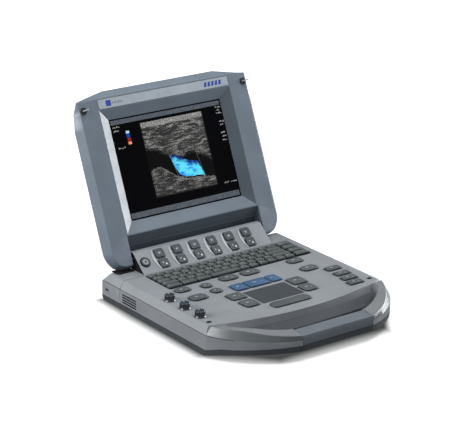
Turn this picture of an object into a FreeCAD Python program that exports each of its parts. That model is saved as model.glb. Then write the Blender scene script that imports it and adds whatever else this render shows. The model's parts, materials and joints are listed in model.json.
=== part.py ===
"""Hand-carried ultrasound scanner: a clamshell with a fixed front carrying handle.

Frame: +X to the operator's right, -Y towards the handle, +Z up, millimetres.  The origin is on the
table, below the centre of the open scanner's box.

The base is drawn with y = 0 at its rear wall, and every base piece is then moved by the cell
rear_wall.  The lid is drawn lying on its back about the hinge axis: local y runs up the lid, local z
out of its front.  Its pieces share one placement, which turns them to the open angle.
"""
import FreeCAD, Part
import math
import os

V = FreeCAD.Vector
doc = FreeCAD.newDocument("ultrasound_scanner")

# ---------------------------------------------------------------- driving dimensions
SIZES = {
    # base
    "rear_wall": 107.4,
    "base_half_width": 138.5,
    "side_front": 221.0,
    "front_bow": 19.0,
    "corner_radius": 4.0,
    "wall": 2.5,
    "foot_height": 1.5,
    "floor_top": 4.0,
    "strip_top": 9.0,
    "seam": 27.7,
    "deck_top": 37.7,
    "deck_under": 33.7,
    "deck_half_width": 132.0,
    "deck_front": 217.5,
    "deck_bow": 22.0,
    "rear_cap_depth": 42.0,
    # handle
    "grip_half_length": 54.0,
    "grip_front": 299.0,
    "grip_back": 278.0,
    "hole_half_length": 112.0,
    # key panel
    "panel_half_width": 101.1,
    "panel_front": 41.1,
    "panel_crest": 16.3,
    "panel_back": 9.0,
    "panel_top": 59.5,
    "panel_wall": 2.2,
    # keys
    "key_gap": 0.4,
    "key_rise": 1.7,
    "key_flange": 0.8,
    "key_flange_rim": 0.8,
    "key_edge": 0.5,
    "typing_height": 3.0,
    "well_floor": 34.9,
    "knob_radius": 6.2,
    "knob_height": 8.2,
    "knob_rim": 1.4,
    "knob_shaft_radius": 3.0,
    # hinge
    "hinge_back": 15.06,
    "hinge_height": 50.65,
    "hinge_up_lid": 30.07,
    "hinge_behind_front": 4.15,
    "open_turn": 66.55,
    "pin_radius": 2.2,
    "pin_clearance": 0.05,
    "pin_inner": 92.0,
    "pin_outer": 116.0,
    # lid
    "bezel_depth": 10.0,
    "lid_depth": 32.5,
    "notch_half_width": 103.5,
    "screen_half_width": 87.3,
    "screen_low": 17.0,
    "screen_high": 147.2,
    "bevel_half_width": 102.1,
    "bevel_low": 1.5,
    "bevel_high": 161.2,
    "bevel_depth": 7.2,
}

# Deck keys: centre x, distance in front of the rear wall, width, depth, corner radius.
PILL_KEYS = {
    "pill_key_1": (-91.5, 109.5, 20.5, 13.0, 6.0),
    "pill_key_2": (-59.0, 114.5, 14.0, 13.0, 6.3),
    "pill_key_3": (-20.5, 108.5, 25.0, 15.0, 6.8),
    "pill_key_4": (13.0, 108.5, 26.0, 15.0, 6.8),
    "pill_key_5": (85.0, 109.0, 22.5, 13.5, 6.3),
    "pill_key_6": (-90.0, 140.0, 24.0, 16.0, 7.2),
    "pill_key_7": (-59.0, 135.0, 14.0, 13.0, 6.3),
    "pill_key_8": (83.5, 139.5, 24.0, 14.5, 6.8),
}
PAD_KEYS = {
    "blue_key_left": (-28.5, 141.5, 19.0, 19.0, 3.5),
    "blue_key_middle": (-1.5, 141.5, 31.0, 19.0, 1.2),
    "blue_key_right": (24.0, 141.5, 16.0, 19.0, 3.5),
    "pad_key_upper_left": (-50.5, 164.0, 21.0, 19.0, 2.5),
    "pad_key_lower_left": (-50.5, 190.0, 20.0, 21.0, 4.5),
    "pad_key_upper_right": (43.0, 165.0, 20.5, 20.5, 2.5),
    "pad_key_lower_right": (41.0, 190.0, 19.5, 20.0, 4.5),
    "pad_bar_key": (-4.5, 213.0, 58.0, 15.5, 6.0),
}
SIDE_KEYS = {
    "side_key_1": (108.0, 157.5, 21.5, 11.0, 2.0),
    "side_key_2": (106.5, 177.0, 22.0, 11.0, 2.0),
    "side_key_3": (104.0, 193.5, 22.0, 10.5, 2.0),
    "side_key_4": (100.5, 209.5, 21.5, 11.0, 2.0),
}
DECK_KEYS = {**PILL_KEYS, **PAD_KEYS, **SIDE_KEYS}
# Function keys on the sloped panel: left edge of each column, then width; two rows up the slope.
FUNCTION_COLUMNS = (-71.9, -44.5, -17.1, 10.3, 37.7, 65.1)
FUNCTION_KEY_WIDTH = 12.4
FUNCTION_KEY_DEPTH = 11.4
FUNCTION_ROWS = {"lower": 9.4, "upper": 24.2}
POWER_BUTTON = (-91.0, 16.6, 5.6)
REAR_LEAN, CAP_SHOULDER = 3.6, 23.5
VENT_MIDDLE, VENT_LENGTH, VENT_HEIGHT = 62.6, 30.0, 1.8
VENT_BOTTOMS = (11.6, 14.9, 18.2, 21.5)
KNOBS = {"knob_back": 127.4, "knob_middle": 158.6, "knob_front": 189.4}
KNOB_X = -123.2
TOUCHPAD = (-4.0, 179.0, 64.0, 42.0, 1.5)
LATCH_X = 124.6
LATCH_UP_LID = 164.0
LATCH_PLUG = (6.4, 4.8)
HOOK_ROOT = (4.4, 3.2, 4.0)
HOOK_WIDTH, HOOK_THICKNESS, HOOK_REACH = 3.0, 1.4, 11.5

sheet = doc.addObject("Spreadsheet::Sheet", "Sizes")


def add_cells(values):
    """Write each value to the sheet as text, with its name as alias."""
    for name, value in values.items():
        add_cells.row += 1
        cell = f"B{add_cells.row}"
        sheet.set(f"A{add_cells.row}", name)
        sheet.set(cell, str(value))
        sheet.setAlias(cell, name)


add_cells.row = 0
add_cells(SIZES)
for key_name, (key_x, key_y, *_) in DECK_KEYS.items():
    add_cells({f"{key_name}_x": key_x, f"{key_name}_y": key_y})
for knob_name, knob_y in KNOBS.items():
    add_cells({f"{knob_name}_y": knob_y})
doc.recompute()


def size(alias):
    """The number in one named cell."""
    return float(sheet.get(alias))


WALL = size("wall")
HALF = size("base_half_width")
DECK = size("deck_top")
SEAM = size("seam")
UP_LID = size("hinge_up_lid")
BEHIND = size("hinge_behind_front")

nodes = []


# ---------------------------------------------------------------- building helpers
def bind(thing, **cells):
    """Bind properties (a dot written as two underscores) to sheet expressions."""
    for name, expression in cells.items():
        thing.setExpression(name.replace("__", "."), expression)
    return thing


def path_edges(path):
    """Closed outline: a pair is a line's end, four numbers are an arc's middle and end."""
    edges = []
    start = V(*path[0], 0)
    here = start
    for step in path[1:]:
        end = V(*step[-2:], 0)
        if len(step) == 2:
            edges.append(Part.LineSegment(here, end))
        else:
            edges.append(Part.Arc(here, V(*step[:2], 0), end))
        here = end
    if (here - start).Length > 1e-6:
        edges.append(Part.LineSegment(here, start))
    return edges


def rounded_path(x, y, width, depth, radius):
    """Rounded rectangle about (x, y)."""
    w, d, r = width / 2, depth / 2, radius
    k = r * (1 - math.sqrt(0.5))
    return [
        (x - w + r, y - d), (x + w - r, y - d), (x + w - k, y - d + k, x + w, y - d + r),
        (x + w, y + d - r), (x + w - k, y + d - k, x + w - r, y + d),
        (x - w + r, y + d), (x - w + k, y + d - k, x - w, y + d - r),
        (x - w, y - d + r), (x - w + k, y - d + k, x - w + r, y - d),
    ]


def rect(x0, x1, y0, y1):
    """Plain rectangle."""
    return [(x0, y0), (x1, y0), (x1, y1), (x0, y1)]


def sketch(name, *paths, height=0.0, plane="XY"):
    """Free sketch on a level plane, or on the side plane (sketch x = Y, sketch y = Z)."""
    drawn = doc.addObject("Sketcher::SketchObject", name)
    for path in paths:
        drawn.addGeometry(path_edges(path))
    if plane == "YZ":
        drawn.Placement = FreeCAD.Placement(V(height, 0, 0), FreeCAD.Rotation(V(1, 1, 1), 120))
    else:
        drawn.Placement = FreeCAD.Placement(V(0, 0, height), FreeCAD.Rotation())
    return drawn


def extrude(name, drawn, length, symmetric=False):
    """Straight solid from a sketch along its normal; length is a number or an expression."""
    solid = doc.addObject("Part::Extrusion", name)
    solid.Base = drawn
    solid.DirMode = "Normal"
    solid.Solid = True
    solid.Symmetric = symmetric
    if isinstance(length, str):
        bind(solid, LengthFwd=length)
    else:
        solid.LengthFwd = length
    return solid


def prism(name, path, low, high):
    """Upright prism over a level outline."""
    return extrude(name, sketch(f"{name}_outline", path, height=low), high - low)


def side_prism(name, path, half_width):
    """Prism across the scanner over an outline in the side plane."""
    drawn = sketch(f"{name}_outline", path, plane="YZ")
    return extrude(name, drawn, 2 * half_width, symmetric=True)


def loft(name, *levels):
    """Ruled solid through (outline, height) pairs."""
    solid = doc.addObject("Part::Loft", name)
    solid.Sections = [sketch(f"{name}_{i}", path, height=height)
                      for i, (path, height) in enumerate(levels)]
    solid.Solid = True
    solid.Ruled = True
    return solid


def block(name, x, y, z, length, width, height):
    """Part box centred on x and y, from z upwards."""
    box = doc.addObject("Part::Box", name)
    box.Length, box.Width, box.Height = length, width, height
    box.Placement.Base = V(x - length / 2, y - width / 2, z)
    return box


def rod(name, start, axis, radius, length):
    """Part cylinder from start along axis."""
    round_bar = doc.addObject("Part::Cylinder", name)
    round_bar.Radius, round_bar.Height = radius, length
    round_bar.Placement = FreeCAD.Placement(V(*start), FreeCAD.Rotation(V(0, 0, 1), V(*axis)))
    return round_bar


def cut(name, base, *tools):
    """Base less one tool or several."""
    result = doc.addObject("Part::Cut", name)
    result.Base = base
    result.Tool = tools[0] if len(tools) == 1 else group(f"{name}_tools", *tools)
    return result


def fuse(name, *parts):
    """One solid from several that touch."""
    result = doc.addObject("Part::MultiFuse", name)
    result.Shapes = list(parts)
    return result


def common(name, base, tool):
    """What two solids share."""
    result = doc.addObject("Part::Common", name)
    result.Base, result.Tool = base, tool
    return result


def group(name, *parts):
    """Separate solids kept in one object."""
    result = doc.addObject("Part::Compound", name)
    result.Links = list(parts)
    return result


def mirrored(name, source):
    """Copy on the other side of the middle plane."""
    result = doc.addObject("Part::Mirroring", name)
    result.Source = source
    result.Normal = V(1, 0, 0)
    return result


def base_node(name, solid):
    """Name a finished base piece and move it to the part's frame."""
    solid.Label = name
    bind(solid, Placement__Base__y="Sizes.rear_wall")
    nodes.append(solid)


def lid_node(name, solid):
    """Name a finished lid piece and turn it about the hinge to the open angle."""
    solid.Label = name
    solid.Placement = FreeCAD.Placement(V(0, 0, 0), FreeCAD.Rotation(V(1, 0, 0), 10))
    bind(
        solid,
        Placement__Base__y="Sizes.rear_wall - Sizes.hinge_back",
        Placement__Base__z="Sizes.hinge_height",
        Placement__Rotation__Angle="Sizes.open_turn",
    )
    nodes.append(solid)


def origin_plane(body, role):
    """One of a body's own origin planes."""
    return next(item for item in body.Origin.OriginFeatures if item.Role == role)


def body_sketch(body, name, path, height=0.0):
    """Sketch on the body's own level plane."""
    drawn = body.newObject("Sketcher::SketchObject", name)
    drawn.AttachmentSupport = (origin_plane(body, "XY_Plane"), [""])
    drawn.MapMode = "FlatFace"
    drawn.AttachmentOffset = FreeCAD.Placement(V(0, 0, height), FreeCAD.Rotation())
    drawn.addGeometry(path)
    return drawn


def body_pad(body, name, path, height, length):
    """Pad a level outline upwards by a sheet expression."""
    pad = body.newObject("PartDesign::Pad", name)
    pad.Profile = body_sketch(body, f"{name}_outline", path, height)
    bind(pad, Length=length)
    body.Tip = pad
    return pad


def round_top(body, source, top, radius):
    """Round the upper rim of the last feature."""
    doc.recompute()
    edges = [
        f"Edge{i + 1}" for i, edge in enumerate(source.Shape.Edges)
        if all(abs(vertex.Point.z - top) < 1e-5 for vertex in edge.Vertexes)
    ]
    fillet = body.newObject("PartDesign::Fillet", f"{source.Name}_rim")
    fillet.Base = (source, edges)
    bind(fillet, Radius=radius)
    body.Tip = fillet


def key_body(name, width, depth, radius, plate, rim):
    """Key cap with its stem and the flange that keeps it under a plate of that thickness.

    The cap's own origin is on the plate's outer face.
    """
    body = doc.addObject("PartDesign::Body", name)
    low = -plate - size("key_flange") - 0.3
    flange_path = path_edges(rounded_path(0, 0, width + 2 * rim, depth + 2 * rim, radius + rim))
    body_pad(body, f"{name}_flange", flange_path, low, "Sizes.key_flange")
    stem_low = low + size("key_flange")
    pad = body_pad(
        body, f"{name}_cap", path_edges(rounded_path(0, 0, width, depth, radius)), stem_low,
        f"Sizes.key_rise + {-stem_low}",
    )
    round_top(body, pad, size("key_rise"), "Sizes.key_edge")
    return body


# ---------------------------------------------------------------- outlines of the base
def bowed_front(half_width, side, bow, path_start):
    """Close an outline with an arc bowed forward between two side points."""
    return path_start + [(half_width, -side), (0, -side - bow, -half_width, -side)]


def base_outline():
    """Base with the handle's outer edge."""
    r = size("corner_radius")
    k = r * (1 - math.sqrt(0.5))
    side, front, grip = size("side_front"), size("grip_front"), size("grip_half_length")
    return [
        (-HALF + r, 0), (HALF - r, 0), (HALF - k, -k, HALF, -r),
        (HALF, -side), (110.5, -265, grip, -front),
        (-grip, -front), (-110.5, -265, -HALF, -side),
        (-HALF, -r), (-HALF + k, -k, -HALF + r, 0),
    ]


def inset_outline(inset, front_inset):
    """The same edge drawn in at the top of the handle's slanted facet."""
    side, front, grip = size("side_front"), size("grip_front"), size("grip_half_length")
    r = size("corner_radius")
    half = HALF - inset
    k = r * (1 - math.sqrt(0.5))
    return [
        (-half + r, -inset), (half - r, -inset), (half - k, -inset - k, half, -inset - r),
        (half, -side + 1.5), (106, -260.6, grip, -front + front_inset),
        (-grip, -front + front_inset), (-106, -260.6, -half, -side + 1.5),
        (-half, -inset - r), (-half + k, -inset - k, -half + r, -inset),
    ]


def front_wall_y(x):
    """The front wall's outer face, an arc bowed forward."""
    side, bow = size("side_front"), size("front_bow")
    radius = (HALF ** 2 + bow ** 2) / (2 * bow)
    return -side - bow + radius - math.sqrt(radius ** 2 - x ** 2)


def hand_hole_outline():
    """Crescent between the front wall and the handle."""
    end, back = size("hole_half_length"), size("grip_back")
    wall = front_wall_y(end)
    return [
        (-end, wall), (0, front_wall_y(0), end, wall), (end + 3.5, (wall - 238) / 2, end, -238),
        (87, -263, 58, -back), (-58, -back), (-87, -263, -end, -238),
        (-end - 3.5, (wall - 238) / 2, -end, wall),
    ]


def deck_band_outline(inset=0.0):
    """The base without its handle."""
    half = HALF - inset
    return bowed_front(half, size("side_front") - inset, size("front_bow"),
                       [(-half, -inset), (half, -inset)])


def arm_outline():
    """Right arm of the handle, from the front wall to the grip."""
    side, front, back = size("side_front"), size("grip_front"), size("grip_back")
    grip, end = size("grip_half_length"), size("hole_half_length")
    wall = front_wall_y(end)
    between = (HALF + end) / 2
    return [
        (HALF, -side), (110.5, -265, grip, -front), (grip, -back), (58, -back),
        (87, -263, end, -238), (end + 3.5, (wall - 238) / 2, end, wall),
        (between, front_wall_y(between), HALF, -side),
    ]


# Side-view lines of the handle, front to back: y, then height.
HANDLE_UNDERSIDE = [(-301, 14.7), (-264, 11.0), (-240, 7.0), (-226, 3.2), (-217, size("foot_height"))]
HANDLE_STRIP = [(-301, 21.6), (-276, 18.7), (-253, 15.7), (-239, 14.1), (-221, size("strip_top"))]
HANDLE_TOP = [(-301, 33.2), (-278, 36.2), (-258, 39.0), (-220, 38.2)]


# ---------------------------------------------------------------- casing of the base
def bottom_shell():
    """Dark tray with floor, screw bosses and the handle's underside."""
    slab = prism("tray_slab", base_outline(), 0, 25)
    profile = side_prism(
        "tray_profile",
        HANDLE_UNDERSIDE + [(-8, size("foot_height")), (-5.8, 2.0), (0, size("strip_top"))]
        + HANDLE_STRIP[::-1],
        HALF + 5,
    )
    shaped = common("tray_shaped", slab, profile)
    hole = prism("tray_hand_hole", hand_hole_outline(), -1, 26)
    cavity = prism("tray_cavity", deck_band_outline(WALL + 4.5), size("floor_top"), 30)
    hollow = cut("tray_hollow", shaped, hole, cavity)
    bosses = [rod(f"boss_{i}", (x, y, 3.0), (0, 0, 1), 4.0, 8.0)
              for i, (x, y) in enumerate(SCREW_SPOTS + BOARD_POSTS)]
    bored = [rod(f"boss_bore_{i}", (x, y, 0), (0, 0, 1), 1.5, 12)
             for i, (x, y) in enumerate(SCREW_SPOTS)]
    heads = [rod(f"head_bore_{i}", (x, y, 0), (0, 0, 1), 3.0, 2.9)
             for i, (x, y) in enumerate(SCREW_SPOTS)]
    base_node("bottom_shell", cut("tray", fuse("tray_with_bosses", hollow, *bosses), *bored, *heads))


SCREW_SPOTS = [(x, y) for y in (-30, -118, -206) for x in (-124, 124)]
BOARD_POSTS = [(-64, -40), (-64, -200)]
FOOT_SPOTS = [(x, y) for y in (-20, -200) for x in (-95, 95)]


def rubber_feet():
    """Four round feet under the tray."""
    feet = []
    for i, (x, y) in enumerate(FOOT_SPOTS):
        foot = rod(f"foot_{i}", (x, y, 0), (0, 0, 1), 8.0, 1.5)
        bind(foot, Height="Sizes.foot_height")
        feet.append(foot)
    base_node("rubber_feet", group("feet", *feet))


def case_screws():
    """Six countersunk case screws, their heads below the tray's outer face."""
    screws = []
    for i, (x, y) in enumerate(SCREW_SPOTS):
        head = rod(f"screw_head_{i}", (x, y, 1.8), (0, 0, 1), 2.8, 1.1)
        shank = rod(f"screw_shank_{i}", (x, y, 2.9), (0, 0, 1), 1.45, 7.5)
        recess = block(f"screw_slot_{i}", x, y, 1.7, 4.0, 0.8, 0.7)
        screws.append(cut(f"screw_{i}", fuse(f"screw_body_{i}", head, shank), recess))
    base_node("case_screws", group("screws", *screws))


def handle_envelope(name):
    """Everything inside the handle's outer faces: upright, then slanted in to the top."""
    upright = prism(f"{name}_upright", base_outline(), 0, 28.3)
    slant = loft(f"{name}_slant", (base_outline(), 28.3), (inset_outline(6.3, 3.4), 40.0))
    return fuse(name, upright, slant)


def side_shell():
    """Light middle frame: side walls, front wall and the handle's two arms."""
    depth = size("rear_cap_depth")
    ring = prism("frame_ring", deck_band_outline(), size("strip_top"), SEAM)
    cavity = prism("frame_cavity", deck_band_outline(WALL), 0, 40)
    rear = block("frame_rear_gap", 0, -depth / 2 + 5, 0, 300, depth + 10, 60)
    slots = [block(f"vent_{i}", -HALF, -VENT_MIDDLE, z, 12, VENT_LENGTH, VENT_HEIGHT)
             for i, z in enumerate(VENT_BOTTOMS)]
    tray_room = side_prism("frame_tray_room", HANDLE_STRIP + [(-221, 0), (-301, 0)], HALF + 5)
    walls = cut("frame_walls", ring, cavity, rear, tray_room, *slots)
    profile = side_prism(
        "arm_profile", HANDLE_STRIP + [(-220, size("strip_top"))] + HANDLE_TOP[::-1], HALF + 5)
    envelope = handle_envelope("arm_envelope")
    right = prism("arm_right_block", arm_outline(), 5, 45)
    left = mirrored("arm_left_block", right)
    arms = []
    for side, solid in (("right", right), ("left", left)):
        trimmed = common(f"arm_{side}_trimmed", solid, profile)
        arms.append(common(f"arm_{side}", trimmed, envelope))
    base_node("side_shell", fuse("frame", walls, *arms))


def handle_grip():
    """Dark grip between the arms, its top falling forward."""
    grip, front, back = size("grip_half_length"), size("grip_front"), size("grip_back")
    bar = block("grip_bar", 0, -(front + back) / 2, 10, 2 * grip, front - back, 30)
    profile = side_prism(
        "grip_profile",
        HANDLE_STRIP[:2] + [(-275, 18.6), (-275, 33.2), (-281, 35.4), (-301, 33.2)], grip)
    shaped = common("grip_shaped", bar, profile)
    base_node("handle_grip", common("grip", shaped, handle_envelope("grip_envelope")))


def rear_cap():
    """Back wall and rear corners of the middle frame."""
    depth = size("rear_cap_depth")
    strip = size("strip_top")
    plan = prism("cap_plan", base_outline(), strip, SEAM)
    profile = side_prism(
        "cap_profile",
        [(-depth, strip), (0, strip), (0, 21), (-REAR_LEAN, SEAM), (-depth, SEAM)], HALF + 5)
    shaped = common("cap_shaped", plan, profile)
    inside = side_prism(
        "cap_cavity",
        [(-depth - 1, 0), (-WALL, 0), (-WALL, CAP_SHOULDER), (-WALL - REAR_LEAN, CAP_SHOULDER + 1),
         (-WALL - REAR_LEAN, 60), (-depth - 1, 60)], HALF - WALL)
    lock_slot = block("lock_slot", -HALF, -13.7, 16.0, 10, 7.0, 3.0)
    windows = [block(f"cap_window_{i}", x, 0, z, width, 12, height)
               for i, (x, z, width, height) in enumerate(REAR_WINDOWS)]
    base_node("rear_cap", cut("cap", shaped, inside, lock_slot, *windows))


# Windows in the back wall: centre x, lower edge, width, height.
REAR_WINDOWS = [(-52, 11.0, 76, 12), (26, 12.0, 13, 7), (46, 12.0, 13, 7), (84, 11.5, 13, 9)]


def deck_outline(grow=0.0):
    """Top face of the deck."""
    half = size("deck_half_width") + grow
    return bowed_front(half, size("deck_front"), size("deck_bow"),
                       [(-half, -12 + grow), (half, -12 + grow)])


def seam_outline():
    """Lower edge of the cover, at the seam."""
    return bowed_front(HALF, size("side_front"), size("front_bow"),
                       [(-HALF, -REAR_LEAN), (HALF, -REAR_LEAN)])


def top_cover():
    """Deck with chamfered sides, the keyboard well and an opening for every control."""
    shell = loft("cover_shell", (seam_outline(), SEAM), (deck_outline(), DECK))
    half = size("deck_half_width") - 3
    inner_path = bowed_front(half, 213, 20, [(-half, -16), (half, -16)])
    inner = prism("cover_cavity", inner_path, SEAM - 1, size("deck_under"))
    under_panel = block("panel_window", 0, -26.4, 20, 197, 25, 30)
    well = prism("key_well", rounded_path(10.3, -71.5, 226, 55, 2), size("well_floor"), 45)
    gap = size("key_gap")
    openings = []
    for name, (x, y, width, depth, radius) in DECK_KEYS.items():
        path = rounded_path(x, -y, width + 2 * gap, depth + 2 * gap, radius + gap)
        openings.append(prism(f"{name}_opening", path, 25, 45))
    shaft = size("knob_shaft_radius") + size("pin_clearance")
    for name, y in KNOBS.items():
        openings.append(rod(f"{name}_opening", (KNOB_X, -y, 20), (0, 0, 1), shaft, 25))
    x, y, width, depth, radius = TOUCHPAD
    pad_recess = prism("pad_recess", rounded_path(x, -y, width, depth, radius), DECK - 1.5, 45)
    sockets = [block(f"socket_opening_{i}", side * LATCH_X, -latch_y(), 25, *LATCH_PLUG, 20)
               for i, side in enumerate((-1, 1))]
    base_node("top_cover",
              cut("cover", shell, inner, under_panel, well, pad_recess, *openings, *sockets))


def latch_y():
    """Distance of the latch sockets in front of the rear wall, under the closed lid's hooks."""
    return size("hinge_back") + LATCH_UP_LID + UP_LID


def touchpad():
    """Thin plate in its recess."""
    x, y, width, depth, radius = TOUCHPAD
    body = doc.addObject("PartDesign::Body", "touch_plate")
    path = path_edges(rounded_path(x, -y, width, depth, radius))
    body_pad(body, "touch_plate_pad", path, DECK - 1.5, "1.7")
    base_node("touchpad", body)


def latch_sockets():
    """Two plugs with a slot for the lid's hooks."""
    plugs = []
    for i, side in enumerate((-1, 1)):
        outer = block(f"plug_{i}", side * LATCH_X, -latch_y(), 31.5, *LATCH_PLUG, 6.4)
        slot = block(f"plug_slot_{i}", side * LATCH_X, -latch_y(), 33.5, 4.6, 3.6, 10)
        plugs.append(cut(f"plug_cut_{i}", outer, slot))
    base_node("latch_sockets", group("plugs", *plugs))


# ---------------------------------------------------------------- sloped key panel
PANEL_FOOT = size("panel_front")
PANEL_RISE = size("panel_top") - DECK
PANEL_RUN = size("panel_front") - size("panel_crest")
PANEL_ANGLE = math.degrees(math.atan2(PANEL_RISE, PANEL_RUN))


def on_panel(solid, x, up):
    """Stand a piece on the panel's sloped face: x across, up along the slope."""
    angle = math.radians(PANEL_ANGLE)
    spot = V(x, -PANEL_FOOT + up * math.cos(angle), DECK + up * math.sin(angle))
    solid.Placement = FreeCAD.Placement(spot, FreeCAD.Rotation(V(1, 0, 0), PANEL_ANGLE))
    return solid


def function_keys():
    """Name, x and distance up the slope of the twelve keys."""
    for row, up in FUNCTION_ROWS.items():
        for column, left in enumerate(FUNCTION_COLUMNS, start=1):
            yield f"function_key_{row}_{column}", left + FUNCTION_KEY_WIDTH / 2, up


def key_panel():
    """Hollow wedge behind the keyboard; its ends carry the hinge pins."""
    front, crest, back = size("panel_front"), size("panel_crest"), size("panel_back")
    top, wall, half = size("panel_top"), size("panel_wall"), size("panel_half_width")
    outer = side_prism(
        "panel_outer", [(-front, DECK), (-crest, top), (-back, top), (-back + 3, DECK)], half)
    angle = math.radians(PANEL_ANGLE)
    foot = V(0, -front + wall * math.sin(angle), DECK - wall * math.cos(angle))
    rise = top - wall - foot.z
    inner = side_prism(
        "panel_inner",
        [(foot.y, foot.z), (foot.y + rise / math.tan(angle), top - wall),
         (-back - wall, top - wall), (-back + 0.6, foot.z)],
        half - wall)
    gap = size("key_gap")
    tools = [inner]
    for name, x, up in function_keys():
        path = rounded_path(0, 0, FUNCTION_KEY_WIDTH + 2 * gap, FUNCTION_KEY_DEPTH + 2 * gap, 2 + gap)
        tools.append(on_panel(panel_opening(name, path), x, up))
    x, up, radius = POWER_BUTTON
    opening = doc.addObject("Part::Cylinder", "power_opening")
    opening.Radius, opening.Height = radius + gap, 12
    lowered = group("power_opening_low", opening)
    opening.Placement.Base = V(0, 0, -6)
    tools.append(on_panel(lowered, x, up))
    pins = [rod(f"panel_pin_bore_{i}", (side * 80, *hinge_spot()), (side, 0, 0), size("pin_radius"), 40)
            for i, side in enumerate((-1, 1))]
    base_node("key_panel", cut("panel", outer, *tools, *pins))


def panel_opening(name, path):
    """Cutter for one function key, centred on the panel's face."""
    return group(f"{name}_cutter", prism(f"{name}_opening", path, -6, 6))


def hinge_spot():
    """Hinge axis in the base's drawing frame: y, z."""
    return -size("hinge_back"), size("hinge_height")


def hinge_pins():
    """Stub pins through the panel's ends, each with a head inside."""
    pins = []
    inner, outer, radius = size("pin_inner"), size("pin_outer"), size("pin_radius")
    head_end = size("panel_half_width") - size("panel_wall")
    for i, side in enumerate((-1, 1)):
        pin = rod(f"pin_{i}", (side * inner, *hinge_spot()), (side, 0, 0), radius, outer - inner)
        head = rod(f"pin_head_{i}", (side * inner, *hinge_spot()), (side, 0, 0), 4.0, head_end - inner)
        pins.append(fuse(f"pin_whole_{i}", pin, head))
    base_node("hinge_pins", group("pins", *pins))


# ---------------------------------------------------------------- controls
def place_on_deck(body, name, x, y):
    """Stand a key or knob on the deck."""
    body.Label = name
    body.Placement.Base = V(x, -y, DECK)
    bind(
        body,
        Placement__Base__x=f"Sizes.{name}_x",
        Placement__Base__y=f"Sizes.rear_wall - Sizes.{name}_y",
        Placement__Base__z="Sizes.deck_top",
    )
    nodes.append(body)


def deck_keys():
    """Oval, round, blue, pad-side and column keys in their own openings."""
    plate = DECK - size("deck_under")
    for name, (x, y, width, depth, radius) in DECK_KEYS.items():
        body = key_body(f"{name}_body", width, depth, radius, plate, size("key_flange_rim"))
        place_on_deck(body, name, x, y)


def panel_keys():
    """Twelve function keys, tilted with the panel."""
    for name, x, up in function_keys():
        body = key_body(f"{name}_body", FUNCTION_KEY_WIDTH, FUNCTION_KEY_DEPTH, 2.0, size("panel_wall"),
                        size("key_flange_rim"))
        on_panel(body, x, up)
        base_y = body.Placement.Base.y
        body.Label = name
        bind(body, Placement__Base__y=f"Sizes.rear_wall + {base_y}")
        nodes.append(body)


def power_button():
    """Round button at the panel's left end."""
    x, up, radius = POWER_BUTTON
    body = key_body("power_button_body", 2 * radius, 2 * radius, radius - 0.01,
                    size("panel_wall"), size("key_flange_rim") / 2)
    on_panel(body, x, up)
    base_y = body.Placement.Base.y
    body.Label = "power_button"
    bind(body, Placement__Base__y=f"Sizes.rear_wall + {base_y}")
    nodes.append(body)


def key_caps(name, rows, low):
    """Group of low keys; each row is y, depth and a list of (left, right) ends."""
    caps = []
    height = size("typing_height")
    for y, depth, ends in rows:
        for left, right in ends:
            path = rounded_path((left + right) / 2, -y, right - left, depth, 1.2)
            top = rounded_path((left + right) / 2, -y, right - left - 1.6, depth - 1.6, 1.0)
            number = len(caps)
            lower = prism(f"{name}_{number}_lower", path, low, low + height - 1.0)
            upper = loft(f"{name}_{number}_upper", (path, low + height - 1.0), (top, low + height))
            caps.append(fuse(f"{name}_{number}", lower, upper))
    base_node(name, group(f"{name}_group", *caps))


def even_keys(left, pitch, count, width):
    """Ends of evenly spaced keys."""
    return [(left + i * pitch, left + i * pitch + width) for i in range(count)]


def keyboard():
    """Typing block: five staggered rows, the space bar and the column at the right."""
    low = size("well_floor") + 1.4
    depth = 7.8
    rows = [
        (50.0, depth, [(-100, -91.9)] + even_keys(-89.1, 13.45, 13, 10.7) + [(85.8, 98)]),
        (60.0, depth, [(-100, -86.4)] + even_keys(-83.6, 13.45, 12, 10.7) + [(77.8, 98)]),
        (70.0, depth, [(-100, -83.4)] + even_keys(-80.6, 13.45, 11, 10.7) + [(67.4, 98)]),
        (80.0, depth, [(-100, -78.4)] + even_keys(-75.6, 13.45, 11, 10.7) + [(72.4, 98)]),
        (90.0, depth, [(-100, -80.4), (-77.6, -57.4), (-54.6, -35.4)]
         + even_keys(12.9, 14.4, 2, 11.6) + even_keys(42.7, 14.2, 4, 11.4)),
    ]
    key_caps("typing_keys", rows, low)
    key_caps("space_bar", [(90.0, depth, [(-32.6, 10.1)])], low)
    column = [(y, 8.8, [(102, 121)]) for y in (51.0, 63.5, 76.0, 88.5)]
    key_caps("edge_keys", column, low)


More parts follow.
